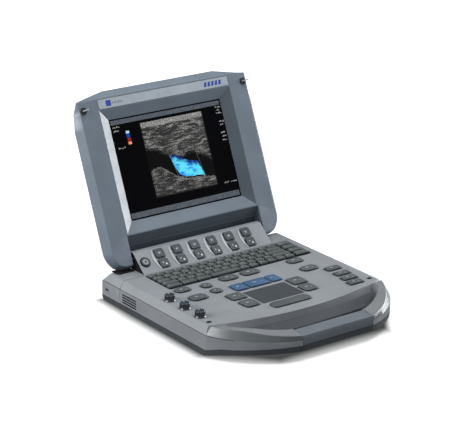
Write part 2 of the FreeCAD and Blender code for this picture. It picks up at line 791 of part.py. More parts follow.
def knobs():
    """Three ribbed knobs, each on a shaft through the deck."""
    radius, height = size("knob_radius"), size("knob_height")
    under, clear, flutes_count, flute_radius = 9, 0.4, 20, 0.55
    for name in KNOBS:
        body = doc.addObject("PartDesign::Body", f"{name}_body")
        disc = body.newObject("PartDesign::AdditiveCylinder", f"{name}_disc")
        disc.Placement.Base = V(0, 0, clear)
        bind(disc, Radius="Sizes.knob_radius", Height=f"Sizes.knob_height - {clear}")
        flare = body.newObject("PartDesign::AdditiveCone", f"{name}_flare")
        flare.Placement.Base = V(0, 0, clear)
        flare.Radius1, flare.Radius2, flare.Height = radius + 1.1, radius, 1.8
        stem = body.newObject("PartDesign::AdditiveCylinder", f"{name}_stem")
        stem.Placement.Base = V(0, 0, -under)
        bind(stem, Radius="Sizes.knob_shaft_radius")
        stem.Height = under + 2 * clear
        round_top(body, stem, height, "Sizes.knob_rim")
        doc.recompute()
        before = body.Shape.Volume
        rib = body.newObject("PartDesign::SubtractiveCylinder", f"{name}_flute")
        rib.Placement.Base = V(radius + 0.15, 0, 2.6)
        rib.Radius, rib.Height = flute_radius, height
        flutes = body.newObject("PartDesign::PolarPattern", f"{name}_flutes")
        flutes.Originals = [rib]
        flutes.Axis = (origin_axis(body, "Z_Axis"), [""])
        flutes.Angle = 360
        flutes.Occurrences = flutes_count
        body.Tip = flutes
        doc.recompute()
        if body.Shape.Volume >= before - flutes_count * flute_radius ** 2:
            raise RuntimeError(f"{name}: the flutes cut nothing")
        body.Label = name
        body.Placement.Base = V(KNOB_X, 0, 0)
        bind(
            body,
            Placement__Base__y=f"Sizes.rear_wall - Sizes.{name}_y",
            Placement__Base__z="Sizes.deck_top",
        )
        nodes.append(body)


def origin_axis(body, role):
    """One of a body's own origin axes."""
    return next(item for item in body.Origin.OriginFeatures if item.Role == role)


# ---------------------------------------------------------------- inside the base
def main_board():
    """Circuit board on the tray's bosses, with its tall parts."""
    board = block("board", 29, -119, 11, 198, 186, 1.6)
    parts = [(-40, -80, 40, 40, 5), (40, -90, 60, 30, 7), (70, -160, 45, 45, 6),
             (-30, -150, 30, 50, 8), (100, -120, 16, 60, 9)]
    chips = [block(f"chip_{i}", x, y, 12.6, length, width, height)
             for i, (x, y, length, width, height) in enumerate(parts)]
    base_node("main_board", fuse("board_with_parts", board, *chips))


def battery_pack():
    """Rechargeable pack along the left wall."""
    pack = block("pack", -96, -115, 4.0, 44, 150, 20)
    rounded = doc.addObject("Part::Chamfer", "pack_edges")
    rounded.Base = pack
    doc.recompute()
    rounded.Edges = [(i + 1, 1.5, 1.5) for i in range(len(pack.Shape.Edges))]
    base_node("battery_pack", rounded)


def transducer_socket():
    """Socket for the scan head in the back wall: a shell around a contact block."""
    x, z, width, height = REAR_WINDOWS[0]
    shell = block("socket_shell", x, -11.5, z, width, 23, height)
    mouth = block("socket_mouth", x, -6.5, z + 1.5, width - 3, 15, height - 3)
    tongue = block("socket_tongue", x, -9.5, z + 2.6, width - 16, 9.6, 1.4)
    base_node("transducer_socket", fuse("socket", cut("socket_cut", shell, mouth), tongue))


def rear_connectors():
    """Power inlet and two data sockets."""
    blocks = []
    for i, (x, z, width, height) in enumerate(REAR_WINDOWS[1:]):
        body = block(f"connector_{i}", x, -8, z, width, 15, height)
        if i < 2:
            slot = block(f"connector_slot_{i}", x, 0, z + 2, width - 3, 8, height - 4)
        else:
            slot = rod(f"connector_slot_{i}", (x, 1, z + height / 2), (0, -1, 0), 1.9, 8)
        blocks.append(cut(f"connector_cut_{i}", body, slot))
    base_node("rear_connectors", group("connectors", *blocks))


# ---------------------------------------------------------------- lid
def lid_path(steps):
    """Outline mirrored about the middle; steps run up the right side, as in path_edges."""
    right = [tuple(value + UP_LID * (i % 2) for i, value in enumerate(step)) for step in steps]
    left = []
    for step, before in zip(right[:0:-1], right[-2::-1]):
        left.append(tuple(-value if i % 2 == 0 else value
                          for i, value in enumerate(step[:-2] + before[-2:])))
    x, y = right[-1][-2:]
    return right + [(-x, y)] + left


def drawn_in(steps, inset):
    """A lid outline moved in towards its middle."""
    return [tuple(value - inset if i % 2 == 0 else value + (inset if value < 0 else -inset)
                  for i, value in enumerate(step)) for step in steps]


LID_FRONT_POINTS = [
    (104, -36.5), (118, -35.8, 124, -32.8), (128.4, -26, 130, -18),
    (130, 140), (130.3, 161), (130.5, 175), (86, 176.2),
]
LID_EDGE_POINTS = [
    (106, -40.6), (120, -39.6, 128.5, -35.8), (135.9, -26, 138.5, -14),
    (138.5, 140), (134.8, 161), (127, 177), (86, 185.5),
]
LID_BACK_POINTS = [
    (88, -13), (94, -12.5, 97, -10.6), (99.2, -7.6, 100, -4),
    (100, 120), (99, 136), (93, 149), (70, 154),
]
NOTCH_RUN, NOTCH_DEPTH = 33.0, 28.0


def lid_rect(half, low, high):
    """Rectangle on the lid."""
    return rect(-half, half, low + UP_LID, high + UP_LID)


def lid_depth_at(depth):
    """Local height of a depth behind the lid's front plane."""
    return BEHIND - depth


def notch(name, offset):
    """Wedge cut from the lid's lower edge to clear the key panel, grown by an offset."""
    slope = math.hypot(NOTCH_RUN, NOTCH_DEPTH)
    shift_y = offset * NOTCH_DEPTH / slope
    shift_z = offset * NOTCH_RUN / slope
    scale = 1.6
    near = (UP_LID + 12 + shift_y, lid_depth_at(-12 * NOTCH_DEPTH / NOTCH_RUN) - shift_z)
    far = (UP_LID - scale * NOTCH_RUN + shift_y, lid_depth_at(scale * NOTCH_DEPTH) - shift_z)
    path = [near, far, (far[0] - 10, far[1]), (far[0] - 10, near[1])]
    return side_prism(name, path, size("notch_half_width") + offset)


def lid_bezel():
    """Front frame with the sloped screen surround and solid hinge blocks."""
    deep = size("bezel_depth")
    frame = loft("bezel_frame", (lid_path(LID_EDGE_POINTS), lid_depth_at(deep)),
                 (lid_path(LID_FRONT_POINTS), lid_depth_at(0)))
    low, high = size("screen_low"), size("screen_high")
    half = size("screen_half_width")
    outer = lid_rect(size("bevel_half_width"), size("bevel_low"), size("bevel_high"))
    inner = lid_rect(half, low, high)
    bevel_deep = size("bevel_depth")
    grow = (size("bevel_half_width") - half) / bevel_deep
    over = lid_rect(size("bevel_half_width") + grow, size("bevel_low") - grow, size("bevel_high") + grow)
    surround = loft("bezel_surround", (inner, lid_depth_at(bevel_deep)),
                    (outer, lid_depth_at(0)), (over, lid_depth_at(-1)))
    window = prism("bezel_window", inner, lid_depth_at(deep + 1), lid_depth_at(bevel_deep - 1))
    seat = prism("bezel_seat", lid_rect(half + 5.5, low - 5.5, high + 5.5),
                 lid_depth_at(deep + 1), lid_depth_at(8.2))
    strip = prism("bezel_strip_recess", lid_rect(101.4, 162.1, 174.5),
                  lid_depth_at(1.2), lid_depth_at(-1))
    bores = [rod(f"bezel_bore_{i}", (side * (size("notch_half_width") - 1), 0, 0), (side, 0, 0),
                 size("pin_radius") + size("pin_clearance"),
                 size("pin_outer") - size("notch_half_width") + 2)
             for i, side in enumerate((-1, 1))]
    hooks = [block(f"hook_seat_{i}", side * LATCH_X, LATCH_UP_LID + UP_LID, lid_depth_at(HOOK_ROOT[2]),
                   *HOOK_ROOT[:2], 9)
             for i, side in enumerate((-1, 1))]
    channels = [
        prism("bezel_top_channel", lid_rect(96, 164, 172), lid_depth_at(11), lid_depth_at(4)),
        prism("bezel_left_channel", rect(-130, -106, UP_LID + 12, UP_LID + 150),
              lid_depth_at(11), lid_depth_at(2.6)),
        prism("bezel_right_channel", rect(106, 130, UP_LID + 12, UP_LID + 150),
              lid_depth_at(11), lid_depth_at(2.6)),
    ]
    lid_node("lid_bezel", cut("bezel", frame, notch("bezel_notch", 0), surround, window, seat,
                              strip, *bores, *hooks, *channels))


def lid_back_cover():
    """Domed back, hollow, with the sloped lower face over the key panel."""
    deep, back = size("bezel_depth"), size("lid_depth")
    outer = loft("back_outer", (lid_path(LID_BACK_POINTS), lid_depth_at(back)),
                 (lid_path(LID_EDGE_POINTS), lid_depth_at(deep)))
    inner = loft("back_inner", (lid_path(drawn_in(LID_BACK_POINTS, 2)), lid_depth_at(back - WALL)),
                 (lid_path(drawn_in(LID_EDGE_POINTS, 3.5)), lid_depth_at(deep)))
    hollow = cut("back_cavity", inner, notch("back_notch_wall", WALL))
    lid_node("lid_back_cover", cut("back", outer, notch("back_notch", 0), hollow))


def lcd_panel():
    """Display module behind the window."""
    body = doc.addObject("PartDesign::Body", "display")
    low, high = size("screen_low") - 5, size("screen_high") + 5
    path = path_edges(lid_rect(size("screen_half_width") + 5, low, high))
    body_pad(body, "display_pad", path, lid_depth_at(16), "7.8")
    lid_node("lcd_panel", body)


def name_strip():
    """Pale strip above the screen."""
    body = doc.addObject("PartDesign::Body", "strip")
    body_pad(body, "strip_pad", path_edges(lid_rect(101.2, 162.3, 174.3)), lid_depth_at(1.2), "1.5")
    lid_node("name_strip", body)


def latch_hooks():
    """Two slim hooks near the lid's upper corners."""
    hooks = []
    y = LATCH_UP_LID + UP_LID
    for i, side in enumerate((-1, 1)):
        x, foot = side * LATCH_X, lid_depth_at(HOOK_ROOT[2])
        root = block(f"hook_root_{i}", x, y, foot, *HOOK_ROOT)
        arm = block(f"hook_arm_{i}", x, y, foot, HOOK_WIDTH, HOOK_THICKNESS, HOOK_ROOT[2] + HOOK_REACH)
        barb = block(f"hook_barb_{i}", x, y + 0.6, lid_depth_at(1.4 - HOOK_REACH),
                     HOOK_WIDTH, HOOK_THICKNESS, 1.2)
        hooks.append(fuse(f"hook_{i}", root, arm, barb))
    lid_node("latch_hooks", group("hooks", *hooks))


def lid_bumpers():
    """Rubber ring round each hook's foot."""
    rings = []
    y = LATCH_UP_LID + UP_LID
    for i, side in enumerate((-1, 1)):
        disc = rod(f"bumper_{i}", (side * LATCH_X, y, lid_depth_at(0)), (0, 0, 1), 4.5, 1.2)
        hole = block(f"bumper_hole_{i}", side * LATCH_X, y, lid_depth_at(1),
                     HOOK_WIDTH + 0.6, HOOK_THICKNESS + 0.8, 4)
        rings.append(cut(f"bumper_ring_{i}", disc, hole))
    lid_node("lid_bumpers", group("bumpers", *rings))


# ---------------------------------------------------------------- build and write
for build in (
    bottom_shell, side_shell, rear_cap, top_cover, handle_grip, key_panel, rubber_feet, case_screws,
    touchpad, latch_sockets, hinge_pins, deck_keys, panel_keys, power_button, keyboard, knobs,
    main_board, battery_pack, transducer_socket, rear_connectors,
    lid_bezel, lid_back_cover, lcd_panel, name_strip, latch_hooks, lid_bumpers,
):
    build()
doc.recompute()

for item in doc.Objects:
    if "Invalid" in item.State or "Error" in item.State:
        raise RuntimeError(f"{item.Name} failed: {item.State}")
os.makedirs("parts", exist_ok=True)
whole = FreeCAD.BoundBox()
for node in nodes:
    if node.Shape.isNull() or not node.Shape.isValid() or not node.Shape.Solids:
        raise RuntimeError(f"{node.Label} has no valid solid")
    node.Shape.exportStep(f"parts/{node.Label}.step")
    whole.add(node.Shape.BoundBox)
    print(f"{node.Label:24s} {len(node.Shape.Solids):3d} solids {node.Shape.Volume / 1000:9.2f} cm3")
print(len(nodes), "nodes; box", whole, "middle y", round((whole.YMin + whole.YMax) / 2, 3))
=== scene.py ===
"""Looks of the hand-carried ultrasound scanner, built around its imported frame."""
import json
import math
import random

import bmesh
import bpy
from mathutils import Matrix, Vector, geometry


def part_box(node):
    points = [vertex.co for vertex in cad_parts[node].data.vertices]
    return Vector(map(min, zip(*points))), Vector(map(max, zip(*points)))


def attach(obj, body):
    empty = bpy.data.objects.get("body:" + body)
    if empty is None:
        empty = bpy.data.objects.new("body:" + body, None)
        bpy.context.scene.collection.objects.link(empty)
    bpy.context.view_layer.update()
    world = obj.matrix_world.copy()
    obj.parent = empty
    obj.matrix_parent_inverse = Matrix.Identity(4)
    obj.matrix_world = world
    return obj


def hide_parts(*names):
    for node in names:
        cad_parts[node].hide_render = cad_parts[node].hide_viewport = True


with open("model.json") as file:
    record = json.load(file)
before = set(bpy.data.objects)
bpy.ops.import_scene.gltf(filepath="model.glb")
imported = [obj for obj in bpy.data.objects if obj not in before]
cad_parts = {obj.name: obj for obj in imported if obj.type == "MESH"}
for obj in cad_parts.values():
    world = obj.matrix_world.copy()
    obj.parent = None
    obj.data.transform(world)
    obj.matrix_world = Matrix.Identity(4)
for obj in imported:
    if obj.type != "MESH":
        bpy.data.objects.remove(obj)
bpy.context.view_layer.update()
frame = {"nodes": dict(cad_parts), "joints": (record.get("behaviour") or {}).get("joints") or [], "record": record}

MM = 0.001
ACROSS = Vector((1, 0, 0))
JOINTS = {joint["name"]: joint for joint in frame["joints"]}
BODY_OF = {node: body for body, members in frame["record"]["behaviour"]["bodies"].items()
           for node in members}
SLOT_OF = {part["node"]: part["material_slot"] for part in frame["record"]["subparts"]}


# ---------------------------------------------------------------- shader graphs
class Graph:
    """A material's node tree, with one short method per kind of node."""

    def __init__(self, name):
        self.material = bpy.data.materials.new(name)
        self.material.use_nodes = True
        self.tree = self.material.node_tree
        self.tree.nodes.clear()
        self.shader = self.add("ShaderNodeBsdfPrincipled")
        output = self.add("ShaderNodeOutputMaterial")
        self.tree.links.new(self.shader.outputs[0], output.inputs["Surface"])
        self.place = self.add("ShaderNodeTexCoord").outputs["Object"]

    def add(self, kind, **settings):
        node = self.tree.nodes.new(kind)
        for name, value in settings.items():
            setattr(node, name, value)
        return node

    def feed(self, socket, value):
        """Link an output to a socket, or set the socket to a plain value."""
        if isinstance(value, bpy.types.NodeSocket):
            self.tree.links.new(value, socket)
        else:
            socket.default_value = value

    def math(self, operation, first, second=0.0, clamp=False):
        node = self.add("ShaderNodeMath", operation=operation, use_clamp=clamp)
        self.feed(node.inputs[0], first)
        self.feed(node.inputs[1], second)
        return node.outputs[0]

    def noise(self, scale, detail=3.0, roughness=0.5, where=None, stretch=None):
        vector = where or self.place
        if stretch:
            mapping = self.add("ShaderNodeMapping")
            self.feed(mapping.inputs["Vector"], vector)
            mapping.inputs["Scale"].default_value = stretch
            vector = mapping.outputs[0]
        node = self.add("ShaderNodeTexNoise")
        self.feed(node.inputs["Vector"], vector)
        node.inputs["Scale"].default_value = scale
        node.inputs["Detail"].default_value = detail
        node.inputs["Roughness"].default_value = roughness
        return node.outputs["Fac"]

    def span(self, value, low, high, to_low=0.0, to_high=1.0):
        """Map low..high smoothly onto to_low..to_high."""
        node = self.add("ShaderNodeMapRange", interpolation_type="SMOOTHSTEP")
        self.feed(node.inputs["Value"], value)
        node.inputs["From Min"].default_value = low
        node.inputs["From Max"].default_value = high
        node.inputs["To Min"].default_value = to_low
        node.inputs["To Max"].default_value = to_high
        return node.outputs[0]

    def mix(self, amount, first, second):
        node = self.add("ShaderNodeMix", data_type="RGBA")
        self.feed(node.inputs["Factor"], amount)
        self.feed(node.inputs["A"], first)
        self.feed(node.inputs["B"], second)
        return node.outputs["Result"]

    def bump(self, height, distance, strength):
        node = self.add("ShaderNodeBump")
        node.inputs["Strength"].default_value = strength
        node.inputs["Distance"].default_value = distance
        self.feed(node.inputs["Height"], height)
        return node.outputs[0]


def shade(colour, factor):
    """A lighter or darker colour with full alpha."""
    return tuple(min(1.0, part * factor) for part in colour[:3]) + (1.0,)


SEAM_HALF_WIDTH, SEAM_BLUR, SEAM_DEPTH = 0.6 * MM, 0.3 * MM, 0.8
# Colour factors for worn edges, painted shade in the hollows, painted shade on upright faces and seams
WORN, HOLLOW_SHADE_TONE, UPRIGHT_SHADE_TONE, IN_SEAM = 1.7, 0.45, 0.3, 0.12


def plastic(name, colour, roughness, grain=0.03, pitch=0.9, variation=0.06, wear=0.25,
            coat=0.0, metal=0.0, hollow_shade=0.06, gloss=0.5, side_shade=0.0, seams=()):
    """Moulded or painted plastic: fine grain, faint mottling, paler worn edges, painted shade in the hollows.

    grain is the relief and pitch the spacing of the grain, both in millimetres. The side shade
    paints shade on faces that stand upright. Each seam is a dark line on a plane: its axis, its
    place, the axis along which it is limited and the two limits.
    """
    g = Graph(name)
    broad = g.noise(22.0, detail=4.0, roughness=0.6)
    colour_now = g.mix(g.span(broad, 0.3, 0.7),
                       shade(colour, 1 - variation), shade(colour, 1 + variation))
    pointiness = g.add("ShaderNodeNewGeometry").outputs["Pointiness"]
    scuffs = g.noise(140.0, detail=6.0, roughness=0.7)
    edge = g.math("MULTIPLY", g.span(pointiness, 0.53, 0.62), g.span(scuffs, 0.35, 0.62))
    colour_now = g.mix(g.math("MULTIPLY", edge, wear), colour_now, shade(colour, WORN))
    # Painted shade: hollows, found by pointiness, are darkened as if shade fell in them
    shaded_hollow = g.math("MULTIPLY", g.span(pointiness, 0.47, 0.40), hollow_shade)
    colour_now = g.mix(shaded_hollow, colour_now, shade(colour, HOLLOW_SHADE_TONE))
    # Painted shade: faces that stand upright are darkened, as light from above leaves them darker
    if side_shade:
        facing = g.add("ShaderNodeSeparateXYZ")
        g.feed(facing.inputs[0], g.add("ShaderNodeNewGeometry").outputs["Normal"])
        upright = g.math("MULTIPLY", g.span(facing.outputs[2], 0.8, 0.2), side_shade)
        colour_now = g.mix(upright, colour_now, shade(colour, UPRIGHT_SHADE_TONE))
    for axis, place, other, low, high in seams:
        where = g.add("ShaderNodeSeparateXYZ")
        g.feed(where.inputs[0], g.place)
        off = g.math("ABSOLUTE", g.math("SUBTRACT", where.outputs[axis], place))
        along = g.math("ABSOLUTE", where.outputs[other])
        inside = g.math("MULTIPLY", g.span(along, low, low + SEAM_BLUR),
                        g.span(along, high, high - SEAM_BLUR))
        line = g.math("MULTIPLY", g.span(off, SEAM_HALF_WIDTH, SEAM_BLUR), inside)
        colour_now = g.mix(g.math("MULTIPLY", line, SEAM_DEPTH), colour_now, shade(colour, IN_SEAM))
    g.feed(g.shader.inputs["Base Color"], colour_now)
    smudges = g.noise(55.0, detail=5.0, roughness=0.65)
    g.feed(g.shader.inputs["Roughness"], g.span(smudges, 0.3, 0.7, roughness - 0.05, roughness + 0.07))
    grains = g.noise(1.0 / (pitch * MM), detail=2.0)
    g.feed(g.shader.inputs["Normal"], g.bump(grains, grain * MM, 0.6))
    g.shader.inputs["Metallic"].default_value = metal
    g.shader.inputs["Specular IOR Level"].default_value = gloss
    g.shader.inputs["Coat Weight"].default_value = coat
    g.shader.inputs["Coat Roughness"].default_value = 0.25
    return g.material


def shining(g, colour, roughness=0.35):
    """Finish a graph as a lit layer of the display, shining with a colour."""
    g.shader.inputs["Base Color"].default_value = (0.002, 0.002, 0.002, 1)
    g.shader.inputs["Specular IOR Level"].default_value = 0.1
    g.shader.inputs["Roughness"].default_value = roughness
    g.feed(g.shader.inputs["Emission Color"], colour)
    g.shader.inputs["Emission Strength"].default_value = 1.0
    return g.material


def glowing(name, colour, flicker=0.0, scale=400.0):
    """Evenly lit part of the display, with a little flicker in its brightness."""
    g = Graph(name)
    dots = g.noise(scale, detail=4.0, roughness=0.7)
    return shining(g, g.mix(g.span(dots, 0.35, 0.65),
                            shade(colour, 1 - flicker), shade(colour, 1 + flicker)))


# ---------------------------------------------------------------- the materials
def make_materials():
    """One material for each of the record's slots, and those of the display and the legends."""
    return {
        "casing_grey": plastic("casing_grey", (0.246, 0.262, 0.281), 0.40, coat=0.15, seams=(
            (1, CAP_SEAM, 2, 11.5 * MM, 60 * MM), (2, COVER_SEAM, 0, 120 * MM, 140 * MM))),
        "casing_dark": plastic("casing_dark", (0.045, 0.050, 0.055), 0.55, wear=0.35),
        "lid_grey": plastic("lid_grey", (0.165, 0.205, 0.250), 0.34, coat=0.3),
        "grip_slate": plastic("grip_slate", (0.125, 0.145, 0.170), 0.42, grain=0.05, pitch=1.2),
        "panel_grey": plastic("panel_grey", (0.26, 0.285, 0.31), 0.42),
        "foot_rubber": plastic("foot_rubber", (0.022, 0.022, 0.023), 0.85, grain=0.08, pitch=0.7),
        "steel": plastic("steel", (0.56, 0.56, 0.57), 0.32, metal=1.0, grain=0.01, pitch=0.3),
        "function_key": plastic("function_key", (0.060, 0.072, 0.085), 0.40, variation=0.15,
                                side_shade=0.6, wear=0.6),
        "key_blue": plastic("key_blue", (0.050, 0.112, 0.215), 0.36, variation=0.2, side_shade=0.7),
        "typing_key": plastic("typing_key", (0.080, 0.094, 0.094), 0.42, variation=0.12, side_shade=0.7),
        "deck_key": plastic("deck_key", (0.078, 0.090, 0.094), 0.38, variation=0.15,
                            side_shade=0.8, wear=0.7),
        "black_plastic": plastic("black_plastic", (0.030, 0.034, 0.042), 0.24, grain=0.01,
                                 variation=0.15, coat=0.4),
        "touchpad_dark": plastic("touchpad_dark", (0.046, 0.053, 0.060), 0.36, grain=0.012, pitch=0.4),
        "display": plastic("display", (0.002, 0.002, 0.003), 0.10, grain=0.002, wear=0.0,
                           hollow_shade=0.0, gloss=0.1),
        "strip_silver": plastic("strip_silver", (0.40, 0.45, 0.50), 0.32, metal=0.1, grain=0.015),
        "board": plastic("board", (0.012, 0.09, 0.035), 0.35),
        "battery": plastic("battery", (0.03, 0.03, 0.034), 0.5),
        "socket_black": plastic("socket_black", (0.015, 0.015, 0.017), 0.4),
        "legend_dim": plastic("legend_dim", (0.26, 0.29, 0.29), 0.5, grain=0.01, wear=0.0),
        # Painted shade: darker, glossier copies of the casing for the arms' tops and upper slants
        "arm_top_shade": plastic("arm_top_shade", (0.185, 0.197, 0.208), 0.36, grain=0.01, coat=0.3),
        "arm_slant_shade": plastic("arm_slant_shade", (0.098, 0.110, 0.118), 0.34, grain=0.006, coat=0.5),
        # Painted highlight: a paler lid colour for the lower corners, where light from above catches them
        "lid_corner_highlight": plastic("lid_corner_highlight", (0.185, 0.215, 0.262), 0.30, grain=0.01, coat=0.4),
        # Painted shade: darker copies of the lid's colour for the surround's right bevel and the sloped face above
        # the key panel
        "lid_side_shade": plastic("lid_side_shade", (0.085, 0.106, 0.130), 0.4, coat=0.2),
        "lid_recess_shade": plastic("lid_recess_shade", (0.085, 0.105, 0.130), 0.45),
        "legend": plastic("legend", (0.62, 0.66, 0.68), 0.5, grain=0.01, wear=0.0),
        "legend_mid": plastic("legend_mid", (0.42, 0.46, 0.48), 0.5, grain=0.01, wear=0.0),
        "trim": plastic("trim", (0.66, 0.70, 0.74), 0.25, metal=0.3, grain=0.01),
        "mark_blue": plastic("mark_blue", (0.030, 0.070, 0.400), 0.3, grain=0.01, wear=0.0),
        # Near black, for a few dark parts and for painted shade in gaps, slots and under the lid
        "black_and_shade": plastic("black_and_shade", (0.009, 0.010, 0.012), 0.8, grain=0.05, gloss=0.2),
        "lid_line": plastic("lid_line", (0.090, 0.112, 0.137), 0.4, grain=0.01),
        "mark_grey": plastic("mark_grey", (0.20, 0.23, 0.25), 0.4, grain=0.01, wear=0.0),
        "well_dark": plastic("well_dark", (0.030, 0.036, 0.040), 0.6, grain=0.05),
        "screen_bar": glowing("screen_bar", (0.085, 0.100, 0.120), flicker=0.25),
        "screen_text": glowing("screen_text", (0.42, 0.44, 0.44), flicker=0.3, scale=900),
        "screen_scan": scan_image(),
        "flow_core": flow_image(),
        "screen_line": glowing("screen_line", (0.12, 0.13, 0.14), flicker=0.3),
        "bar_white": glowing("bar_white", (0.45, 0.70, 0.85)),
        "bar_blue": glowing("bar_blue", (0.0, 0.06, 0.40)),
        "bar_red": glowing("bar_red", (0.30, 0.015, 0.008)),
        "bar_orange": glowing("bar_orange", (0.95, 0.35, 0.12)),
    }


def height_curve(g, across, points):
    """A height that follows points as across goes from 0 to 1."""
    node = g.add("ShaderNodeFloatCurve")
    line = node.mapping.curves[0]
    line.points[0].location, line.points[1].location = points[0], points[-1]
    for x, y in points[1:-1]:
        line.points.new(x, y)
    node.mapping.update()
    g.feed(node.inputs["Value"], across)
    return node.outputs[0]


def picture_graph(name):
    """A graph for a picture, its flat place, and that place across and up from 0 to 1."""
    g = Graph(name)
    uv = g.add("ShaderNodeTexCoord").outputs["UV"]
    split = g.add("ShaderNodeSeparateXYZ")
    g.feed(split.inputs[0], uv)
    return g, uv, split.outputs[0], split.outputs[1]


def scan_image():
    """Grey scan: a bright skin line, streaky layers, a dark vessel narrowing to the right."""
    g, uv, across, up = picture_graph("screen_scan")
    sway = g.math("MULTIPLY", g.math("SUBTRACT", g.noise(4.0, detail=2.0, where=uv), 0.5), 0.12)
    fray = g.math("MULTIPLY", g.math("SUBTRACT", g.noise(26.0, detail=4.0, where=uv), 0.5), 0.10)
    level = g.math("ADD", up, sway)
    bend = g.add("ShaderNodeCombineXYZ")
    g.feed(bend.inputs[0], across)
    g.feed(bend.inputs[1], level)
    streaks = g.noise(1.0, detail=6.0, roughness=0.68, where=bend.outputs[0], stretch=(5.0, 30.0, 1.0))
    speckle = g.noise(1.0, detail=3.0, roughness=0.8, where=bend.outputs[0], stretch=(55.0, 95.0, 1.0))
    patches = g.noise(1.0, detail=3.0, roughness=0.6, where=bend.outputs[0], stretch=(4.5, 9.0, 1.0))
    tissue = g.math("MULTIPLY", g.span(streaks, 0.44, 0.64), g.span(speckle, 0.38, 0.62, 0.0, 1.25))
    tissue = g.math("MULTIPLY", tissue, g.span(patches, 0.36, 0.62, 0.22, 1.0))
    haze = g.math("MULTIPLY", g.span(speckle, 0.35, 0.65), 0.13)
    tissue = g.math("ADD", tissue, haze)
    upper_edge = height_curve(g, across, [(0.0, 0.64), (0.22, 0.58), (0.36, 0.50),
                                          (0.8, 0.46), (1.0, 0.32)])
    lower_edge = height_curve(g, across, [(0.0, 0.33), (0.16, 0.38), (0.3, 0.29), (0.45, 0.20),
                                          (0.75, 0.155), (1.0, 0.12)])
    above = g.span(g.math("SUBTRACT", g.math("ADD", level, fray), upper_edge), -0.02, 0.05)
    under = g.math("SUBTRACT", lower_edge, g.math("ADD", up, fray))
    below = g.span(under, -0.015, 0.02)
    wall = g.span(g.math("ABSOLUTE", under), 0.020, 0.0)
    skin = g.span(up, 0.92, 0.95)
    grey = g.math("MULTIPLY", tissue, g.math("ADD", above, g.math("MULTIPLY", below, 0.9), clamp=True))
    grey = g.math("ADD", grey, g.math("MULTIPLY", wall, g.span(speckle, 0.38, 0.62, 0.0, 0.5)))
    grey = g.math("ADD", grey, g.math("MULTIPLY", skin, g.span(speckle, 0.36, 0.62, 0.0, 0.8)))
    for value, low, high in ((up, 0.0, 0.04), (across, 0.0, 0.03), (across, 1.0, 0.97)):
        grey = g.math("MULTIPLY", grey, g.span(value, low, high))
    return shining(g, g.mix(grey, (0.0, 0.0, 0.0, 1), (0.44, 0.44, 0.43, 1)))


def flow_image():
    """Blue flow, navy at its upper edge, brightest cyan in patches."""
    g, uv, across, up = picture_graph("flow_core")
    tilt = g.math("ADD", up, g.math("MULTIPLY", across, 0.55))
    sway = g.math("MULTIPLY", g.math("SUBTRACT", g.noise(9.0, where=uv), 0.5), 0.35)
    rough = g.math("ADD", tilt, sway)
    patches = g.noise(1.0, detail=5.0, roughness=0.65, where=uv, stretch=(4.0, 6.5, 1.0))
    middle = g.span(g.math("ADD", across, up), 0.25, 0.6)
    bright = g.math("MULTIPLY", g.span(patches, 0.36, 0.56, 0.15, 1.0), middle)
    cyan = g.mix(bright, (0.0, 0.12, 0.80, 1), (0.12, 0.80, 1.0, 1))
    return shining(g, g.mix(g.span(rough, 1.02, 0.80), (0.0, 0.01, 0.16, 1), cyan), roughness=0.5)


CAP_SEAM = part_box("rear_cap")[0][1]
HALF_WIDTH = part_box("side_shell")[1][0]
COVER_SEAM = min(v.co.z for v in frame["nodes"]["top_cover"].data.vertices
                 if v.co.x > HALF_WIDTH - 0.5 * MM)
MATERIALS = make_materials()


# ---------------------------------------------------------------- pieces
def link_piece(name, mesh, material, body):
    """Put a finished mesh in the scene, riding on a CAD body."""
    piece = bpy.data.objects.new(name, mesh)
    bpy.context.scene.collection.objects.link(piece)
    mesh.materials.clear()
    mesh.materials.append(MATERIALS[material])
    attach(piece, body)
    return piece


SMOOTH_ANGLE = math.radians(32)
SHARP_ANGLE = math.radians(24)
LEVEL_ANGLE = math.radians(22)
BEVEL_SEGMENTS = 2
WELD = 0.003 * MM


def smooth_by_angle(mesh):
    """Smooth shading, with the edges that turn further than SMOOTH_ANGLE kept sharp."""
    mesh.polygons.foreach_set("use_smooth", [True] * len(mesh.polygons))
    mesh.set_sharp_from_angle(angle=SMOOTH_ANGLE)


def finished_mesh(shape, name):
    """Turn a shape into a mesh and let go of the shape."""
    mesh = bpy.data.meshes.new(name)
    shape.to_mesh(mesh)
    shape.free()
    return mesh


def refined(node, bevel, leave=None, merge=True):
    """A node's shape with its sharp edges rounded off, standing for that node.

    leave says, from the middle of an edge, which edges stay sharp; merge joins level faces first.
    """
    shape = bmesh.new()
    shape.from_mesh(frame["nodes"][node].data)
    bmesh.ops.remove_doubles(shape, verts=shape.verts, dist=WELD)
    if merge:
        bmesh.ops.dissolve_limit(shape, angle_limit=math.radians(0.5), verts=shape.verts,
                                 edges=shape.edges)
    sharp = [edge for edge in shape.edges
             if edge.is_manifold and edge.calc_face_angle(0.0) > SHARP_ANGLE
             and not (leave and leave((edge.verts[0].co + edge.verts[1].co) / 2))]
    made = bmesh.ops.bevel(shape, geom=sharp, offset=bevel * MM, offset_type="OFFSET",
                           segments=BEVEL_SEGMENTS, profile=0.5, affect="EDGES", clamp_overlap=False)
    normals = crisp_normals(shape, set(made["faces"]))
    mesh = finished_mesh(shape, f"{node}_finished")
    mesh.polygons.foreach_set("use_smooth", [True] * len(mesh.polygons))
    mesh.normals_split_custom_set(normals)
    piece = link_piece(f"{node}_finished", mesh, SLOT_OF[node], BODY_OF[node])
    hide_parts(node)
    return piece


